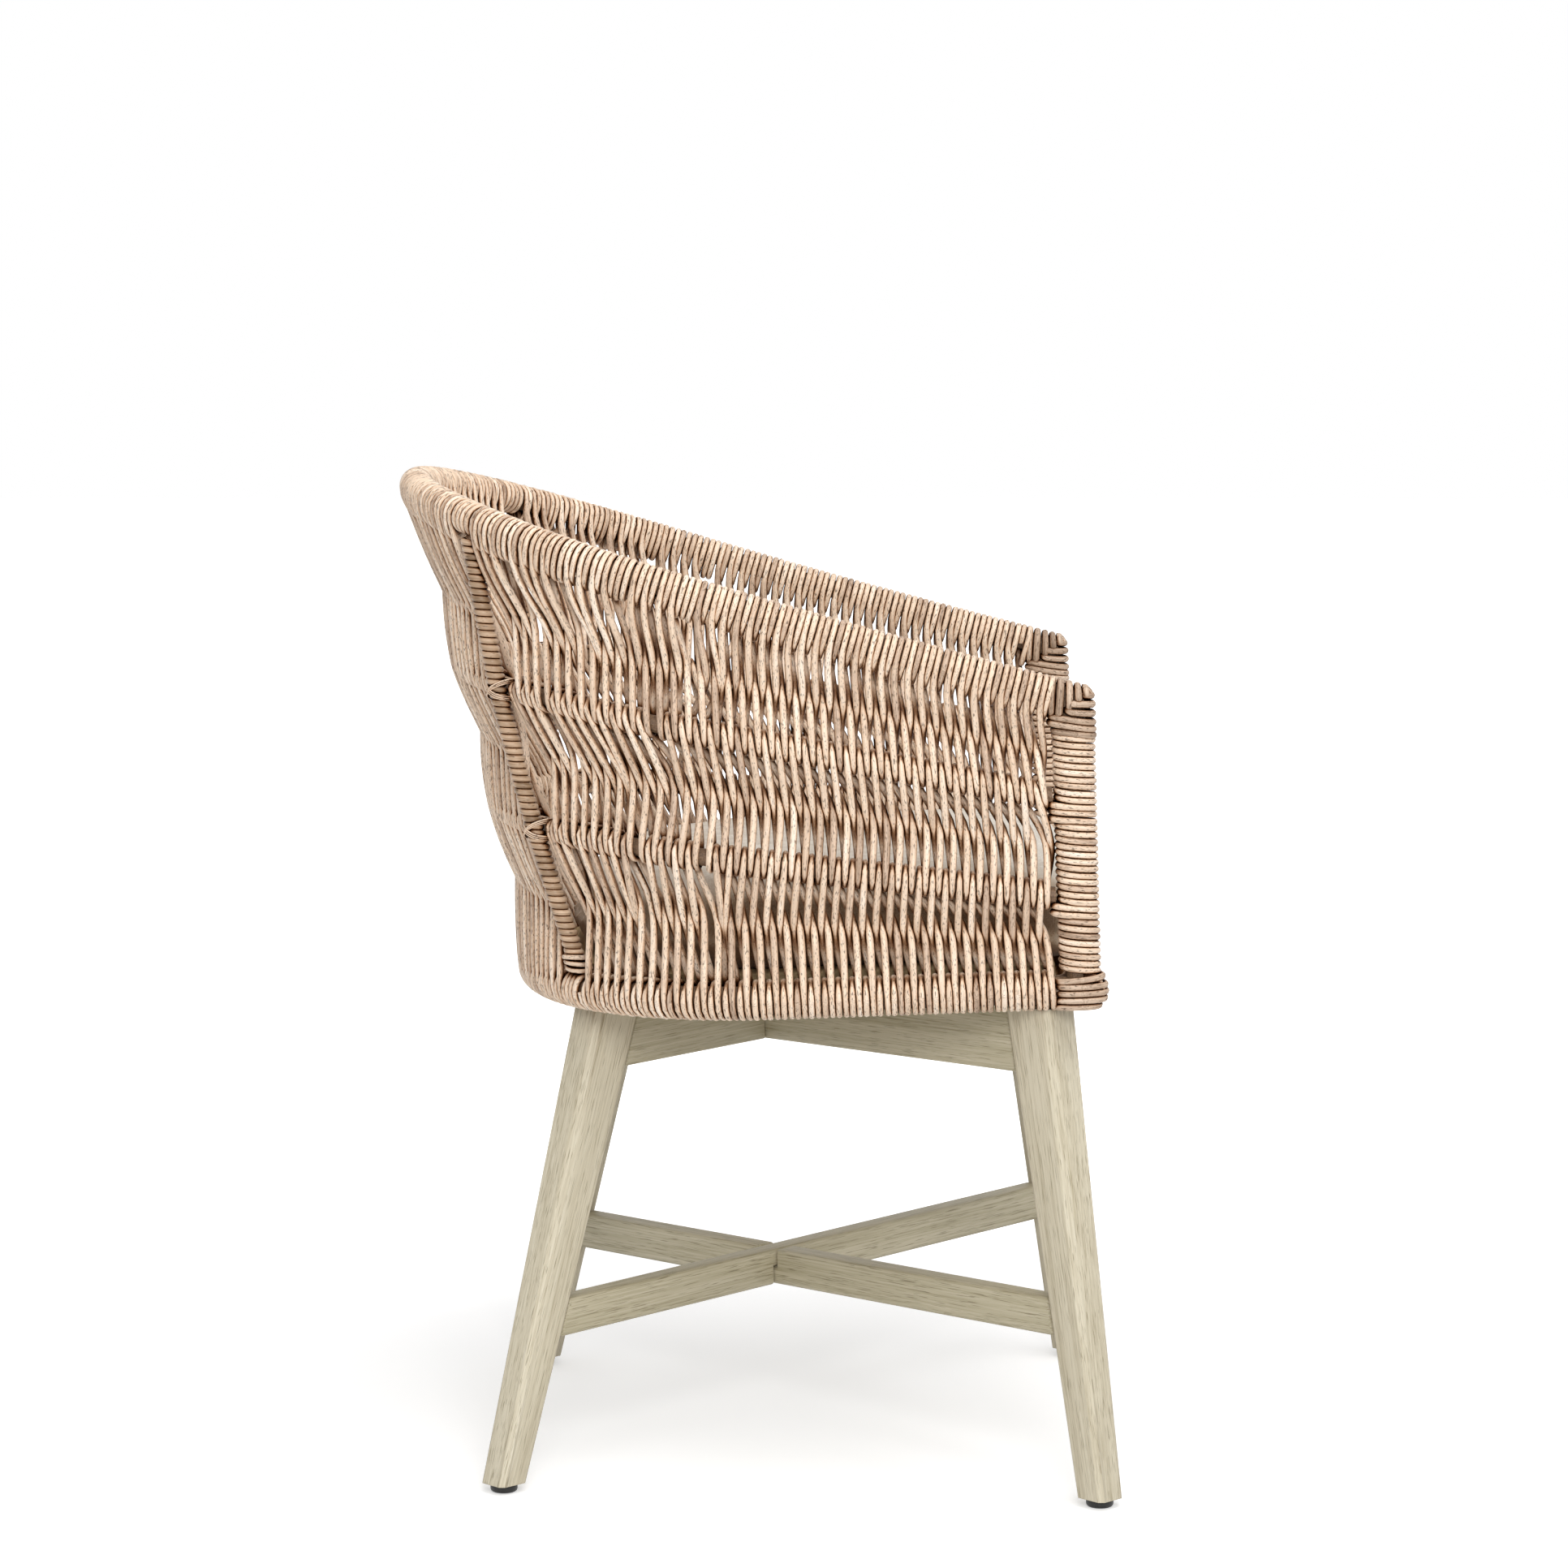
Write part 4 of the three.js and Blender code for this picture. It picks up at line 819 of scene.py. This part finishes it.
topCorner = {
    # upright wraps: place behind the post's middle, length down from the rim's top, lean, how proud they lie
    "upright": [(14, 29, 0.05, -0.6), (7.4, 28.4, 0.1, 2.2), (0.9, 22, 0.04, 2.2), (-5.5, 14.4, 0, 2.2),
                (-11.6, 9.5, 0, 1.2)],
    # their ends tuck in by two steps: mm inwards, mm down
    "tucks": ((2.4, 2.0), (5.5, 2.6)),
    # level wraps: depth of their middle below the rim's top, how far back they reach, rise to the back
    "level": [(17.3, 0.5, 1.5), (23.9, 5, 2.2), (29.9, 16.5, 3.2), (35.2, 17, 3.4), (40.6, 14, 2.6)],
    "frontReach": 16.8, "uprightRadius": 3.0, "levelRadius": 2.9,
    # the wrap that rounds the rim's end: its middle before the post's, depth, reach and half width
    "end": (-10, 11.4, 6.4, 9.0),
    # short strands over the end: places sideways, then mm before the post's middle, bend's radius and lift
    "noseSways": (-5.2, 0.2, 5.4), "nose": (8.2, 7.8, 0.2),
}


# A flat oval loop round a post
def levelWrap(bundle, middle, out, frontReach, backReach, halfWide, tone, radius, slant):
    points = []
    for angle in fullTurn(24):
        c, s = cos(angle), sin(angle)
        reach = backReach if s > 0 else frontReach
        points.append(middle + out * halfWide * copysign(abs(c) ** 0.7, c)
                      + np.array([0, reach * s, slant * s]))
    addStrand(bundle, points, radius, tone, closed=True)


def dressTopCorner(side, sideName):
    head, axis = postLine(side)[1:]
    out = np.array([float(side), 0, 0])
    rim = hoops["rim"]
    radius = strandWidth / 2
    top = rim["radius"] + radius
    onward = stationAt(rim, 6)["onward"]
    slope = onward[2] / onward[1]
    bundle = newBundle()
    for place, length, lean, proud in topCorner["upright"]:
        middle = head + np.array([0, place, place * slope])
        low = top + 2 * radius - length
        turn = acos(min(max(low / top, 0), 1))
        half = [middle + out * (top + proud) * sin(a) + up * top * cos(a)
                for a in np.linspace(0, turn, 7)]
        half += [half[-1] + up * low * share for share in (0.5, 1)] if low < 0 else []
        last = half[-1]
        half += [last - out * inwards - up * down for inwards, down in topCorner["tucks"]]
        half = [point + np.array([0, lean * (middle[2] + top - point[2]), 0]) for point in half]
        other = [point - out * 2 * (point - middle)[0] * side for point in half[1:]]
        addStrand(bundle, half[::-1] + other, topCorner["uprightRadius"], chance.uniform(0.25, 0.75))
    for depth, back, slant in topCorner["level"]:
        middle = head - axis * (depth - rim["radius"] - 2 * radius)
        levelWrap(bundle, middle, out, topCorner["frontReach"], back, post["radius"] + radius,
                  chance.uniform(0.25, 0.8), topCorner["levelRadius"], slant)
    place, depth, reach, wide = topCorner["end"]
    levelWrap(bundle, head + np.array([0, place, rim["radius"] + 2 * radius - depth]), out, reach, 1.5, wide,
              chance.uniform(0.3, 0.7), radius, 0.6)
    before, bend, lift = topCorner["nose"]
    for sway in topCorner["noseSways"]:
        nose = [head + out * sway + np.array([0, -before - bend * sin(a), bend * cos(a) + lift])
                for a in np.linspace(0.1, 1.5, 7)]
        addStrand(bundle, nose, radius, chance.uniform(0.3, 0.7))
    finishBundle(bundle, f"topCorner{sideName}", cornerCane, [f"top_corner_binding_{sideName.lower()}"])


# At the bottom, broad level wraps swell over the joint of post, bottom hoop and front rail
knob = {
    # height, reach to the front, half width
    "level": [(8.6, 18, 15), (3.4, 20, 15.6), (-1.8, 20.4, 15.8), (-7.1, 19.4, 15.4), (-12.5, 15, 14)],
    "backReach": 19.5, "swell": 1.6, "swellFrom": 5, "wrapTone": 0.9,
    # upright bands in front of them: places sideways, mm before the post's middle, bend's and strand's radius
    "bands": (-7.5, -2.2, 3.1, 8.4), "bandForward": 4.4, "bandRadius": 12.4, "bandStrand": 2.7,
    "bandTone": 0.85,
}


def dressKnob(side, sideName):
    foot = postLine(side)[0]
    out = np.array([float(side), 0, 0])
    bundle = newBundle()
    for height, reach, wide in knob["level"]:
        levelWrap(bundle, foot + up * height, out, reach, knob["backReach"], wide,
                  pickTone() * knob["wrapTone"], strandWidth / 2,
                  -knob["swell"] if height > knob["swellFrom"] else 0)
    for sway in knob["bands"]:
        band = [foot + out * sway + np.array([0, -knob["bandForward"] - sin(a) * knob["bandRadius"],
                                              cos(a) * knob["bandRadius"]])
                for a in np.linspace(-0.15, pi - 0.1, 12)]
        addStrand(bundle, band, knob["bandStrand"], pickTone() * knob["bandTone"])
    finishBundle(bundle, f"bottomCorner{sideName}", cornerCane,
                 [f"bottom_corner_binding_{sideName.lower()}"])


for sideSign, sideKey in bothSides:
    dressTopCorner(sideSign, sideKey)
    dressKnob(sideSign, sideKey)
print("corners bound")


# Rear ribs: poles wound close with skinned cane, outside the rings

rib = {
    "thick": 2.4, "wide": 2.75, "reach": 5.6, "pitch": 5.65, "steps": 16, "softening": 12, "coreTone": 0.1,
    # mm off each hoop and above it, from the bottom hoop to the rim
    "marks": ((5, 16.7), (16.24, 0), (16.24, 0), (5, -15.9)),
    # thin split cane ties rib and ring together, crossed
    "tieRadius": 0.7, "tieTurns": 3, "tieTone": 0.55, "tieSlack": 0.6, "tieCross": 0.75,
    # paler turns close the rib's foot: how many, first and pitch up the rib, reach, strand and tilt
    "collar": 3, "collarFirst": 1.5, "collarPitch": 4.6, "collarReach": 9.4, "collarStrand": 2.0,
    "collarTilt": 1.4,
}


def dressRib(side, sideName):
    stations = [stationAt(hoop, hoop["ribPlace"]) for hoop in hoops.values()]
    outs = np.array([station["out"] for station in stations])
    marks = np.array([station["at"] + station["out"] * outset + up * raised
                      for station, (outset, raised) in zip(stations, rib["marks"])])
    along = distancesOf(marks)
    fine = np.linspace(0, along[-1], 60)
    line = np.stack([np.interp(fine, along, marks[:, i]) for i in range(3)], 1)
    for _ in range(rib["softening"]):
        line[1:-1] = (line[:-2] + 2 * line[1:-1] + line[2:]) / 4

    path, facing, tones = [], [], []
    for i in range(int(along[-1] / rib["pitch"] * rib["steps"]) + 1):
        travelled = i * rib["pitch"] / rib["steps"]
        if i % rib["steps"] == 0:
            tone = min(max(chance.gauss(0.5, 0.17), 0), 1)
        out = unit(pointOn(outs, along, travelled))
        angle = 2 * pi * i / rib["steps"]
        radial = out * cos(angle) - np.cross(up, out) * sin(angle)
        path.append(pointOn(line, fine, travelled) + radial * rib["reach"])
        facing.append(radial)
        tones.append(tone)
    own = mirrored if side > 0 else list
    bundle = newBundle()
    addStrand(bundle, own(path), rib["thick"], tones, squeeze=rib["wide"] / rib["thick"], facing=own(facing))
    addStrand(bundle, own(line), rib["reach"] - rib["thick"] + 0.3, rib["coreTone"], sides=14)
    finishBundle(bundle, f"rearRib{sideName}", skinnedCane, [f"rear_rib_{sideName.lower()}"])

    ties = []
    for k in (1, 2):
        mark, ringPoint = marks[k], stations[k]["at"]
        across = unit(ringPoint - mark)
        far = np.linalg.norm(ringPoint - mark) + hoops["upper"]["radius"] + rib["tieRadius"]
        near = rib["reach"] + rib["thick"] + rib["tieRadius"]
        square = unit(np.cross(across, up))
        for slant in (-1, 1):
            for i in range(rib["tieTurns"]):
                shift = (i - 1) * rib["tieRadius"] * 2.1
                loop = []
                for a in fullTurn(20):
                    reach = (far - near) / 2 + (far + near) / 2 * cos(a)
                    wide = sin(a) * (near + rib["tieSlack"])
                    loop.append(mark + across * reach + square * (wide + shift * 0.5)
                                + up * (slant * wide * rib["tieCross"] + shift))
                ties.append((loop, rib["tieRadius"], rib["tieTone"]))
    outward, sideways = outs[0] * rib["collarReach"], np.cross(outs[0], up) * rib["collarReach"]
    for i in range(rib["collar"]):
        middle = line[0] + unit(line[1] - line[0]) * (rib["collarFirst"] + i * rib["collarPitch"])
        loop = [middle + outward * cos(a) + sideways * sin(a)
                + up * rib["collarTilt"] * sin(a + i) for a in fullTurn(20)]
        ties.append((loop, rib["collarStrand"], chance.uniform(0.5, 0.9)))
    bundle = newBundle()
    for loop, radius, tone in ties:
        addStrand(bundle, own(loop), radius, tone, sides=8, closed=True)
    finishBundle(bundle, f"ribTies{sideName}", wovenCane, [])


for sideSign, sideKey in bothSides:
    dressRib(sideSign, sideKey)
print("ribs wound")


# Timber base: the solids with eased edges, and with the grain along each piece

easing = {"leg": 1.6, "rail": 1.8, "stretcher": 3.2, "segments": 3, "shortest": 14,
          "weld": 0.02, "flat": 1.5, "bevelFrom": 20, "sharpFrom": 38}


def easeTimber(nodeName, width, finish):
    mesh = bpy.data.meshes.new(f"{nodeName}_eased")
    shape = bmesh.new()
    shape.from_mesh(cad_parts[nodeName].data)
    bmesh.ops.remove_doubles(shape, verts=shape.verts, dist=easing["weld"] * mm)
    bmesh.ops.dissolve_limit(shape, angle_limit=radians(easing["flat"]), verts=shape.verts,
                             edges=shape.edges)
    outer = [edge for edge in shape.edges if len(edge.link_faces) == 2 and edge.is_convex
             and edge.calc_length() > easing["shortest"] * mm
             and edge.calc_face_angle(0) > radians(easing["bevelFrom"])]
    bmesh.ops.bevel(shape, geom=outer, offset=width * mm, segments=easing["segments"], profile=0.5,
                    affect="EDGES", clamp_overlap=True)
    shape.to_mesh(mesh)
    shape.free()
    points = np.array([v.co[:] for v in mesh.vertices])
    points -= points.mean(axis=0)
    _, _, axes = np.linalg.svd(points, full_matrices=False)
    setPlaces(mesh, "grainPlace", points @ axes.T + np.array([chance.uniform(0, 3), chance.uniform(0, 3), 0]))
    addPiece(mesh, finish, [nodeName], easing["sharpFrom"])


for cornerName in cornerNames:
    easeTimber(f"leg_{cornerName}", easing["leg"], timber)
for letter in "ab":
    easeTimber(f"upper_rail_{letter}", easing["rail"], shadedCrossTimber)
    easeTimber(f"lower_stretcher_{letter}", easing["stretcher"], shadedCrossTimber)
for bearerName in ("front", "rear"):
    easeTimber(f"seat_bearer_{bearerName}", easing["rail"], timber)
print("timber eased")


# Glides: turned smooth, with the rounded lower edge

glide = {"radius": 11, "height": 6.7, "edge": 3, "topEdge": 0.6, "steps": 40, "sharpFrom": 50}


def makeGlide(cornerName):
    low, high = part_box(f"glide_{cornerName}")
    centre = ((low[0] + high[0]) / 2, (low[1] + high[1]) / 2)
    radius, height, edge, top = glide["radius"], glide["height"], glide["edge"], glide["topEdge"]
    profile = [(radius - edge + edge * sin(a), edge - edge * cos(a))
               for a in np.linspace(0, pi / 2, 6)]
    profile += [(radius, height - top), (radius - top, height)]
    points = [(centre[0] + wide * mm * cos(a), centre[1] + wide * mm * sin(a), rise * mm)
              for wide, rise in profile for a in fullTurn(glide["steps"])]
    mesh = bpy.data.meshes.new(f"glide_{cornerName}_turned")
    mesh.from_pydata(points, [], tubeFaces(0, len(profile), glide["steps"]))
    addPiece(mesh, glidePlastic, [f"glide_{cornerName}"], glide["sharpFrom"])


for cornerName in cornerNames:
    makeGlide(cornerName)
print("glides turned")


# Seat cushion: foam in a sewn linen cover, swollen by a short cloth simulation

cushion = {
    "shrink": 0.985, "voxel": 6, "pressure": 3.5, "mass": 0.3, "steps": 20,
    "cap": 9,  # mm that a point may move
    # the lowest 30 mm rest on the seat and keep 0.15 of the swelling
    "restDepth": 30, "restShare": 0.15,
}


def makeCushion():
    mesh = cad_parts["seat_cushion"].data.copy()
    mesh.name = "seatCushionCover"
    low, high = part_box("seat_cushion")
    middle = Vector([(low[i] + high[i]) / 2 for i in range(3)])
    for vertex in mesh.vertices:
        vertex.co = middle + (vertex.co - middle) * cushion["shrink"]
    piece = addObject("seatCushionCover", mesh)
    bpy.context.view_layer.objects.active = piece
    for other in bpy.context.selected_objects:
        other.select_set(False)
    piece.select_set(True)
    remesh = piece.modifiers.new("remesh", "REMESH")
    remesh.mode = "VOXEL"
    remesh.voxel_size = cushion["voxel"] * mm
    bpy.ops.object.modifier_apply(modifier=remesh.name)
    before = [vertex.co.copy() for vertex in piece.data.vertices]
    cloth = piece.modifiers.new("cover", "CLOTH")
    cloth.settings.use_pressure = True
    cloth.settings.uniform_pressure_force = cushion["pressure"]
    cloth.settings.effector_weights.gravity = 0
    cloth.settings.mass = cushion["mass"]
    for step in range(1, cushion["steps"] + 1):
        bpy.context.scene.frame_set(step)
    bpy.ops.object.modifier_apply(modifier=cloth.name)
    bpy.context.scene.frame_set(1)
    cap = cushion["cap"] * mm
    restsBelow = min(v.z for v in before) + cushion["restDepth"] * mm
    for vertex, start in zip(piece.data.vertices, before):
        moved = vertex.co - start
        if moved.length > cap:
            moved = moved.normalized() * cap
        if start.z < restsBelow:
            moved *= cushion["restShare"]
        vertex.co = start + moved
    smooth = piece.modifiers.new("smooth", "SUBSURF")
    smooth.levels = smooth.render_levels = 1
    bpy.ops.object.modifier_apply(modifier=smooth.name)
    piece.data.polygons.foreach_set("use_smooth", [True] * len(piece.data.polygons))
    piece.data.materials.clear()
    piece.data.materials.append(linen)
    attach(piece, "cushion")
    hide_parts("seat_cushion")


makeCushion()
print("cushion sewn")


# The hidden solids keep their shape and get their own finish

carried = {"seat_deck": board}
for poleName in ("rim_pole", "upper_ring", "lower_ring", "bottom_ring", "front_rail", "front_post_left",
                 "front_post_right"):
    carried[poleName] = bentPole
for cornerName in cornerNames:
    carried[f"rail_dowel_{cornerName}"] = board
    carried[f"stretcher_dowel_{cornerName}"] = board
    carried[f"seat_screw_{cornerName}"] = screwSteel
for nodeName, finish in carried.items():
    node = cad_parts[nodeName]
    for slot in node.material_slots:
        slot.material = finish
    if not node.material_slots:
        node.data.materials.append(finish)
print("hidden pieces finished")
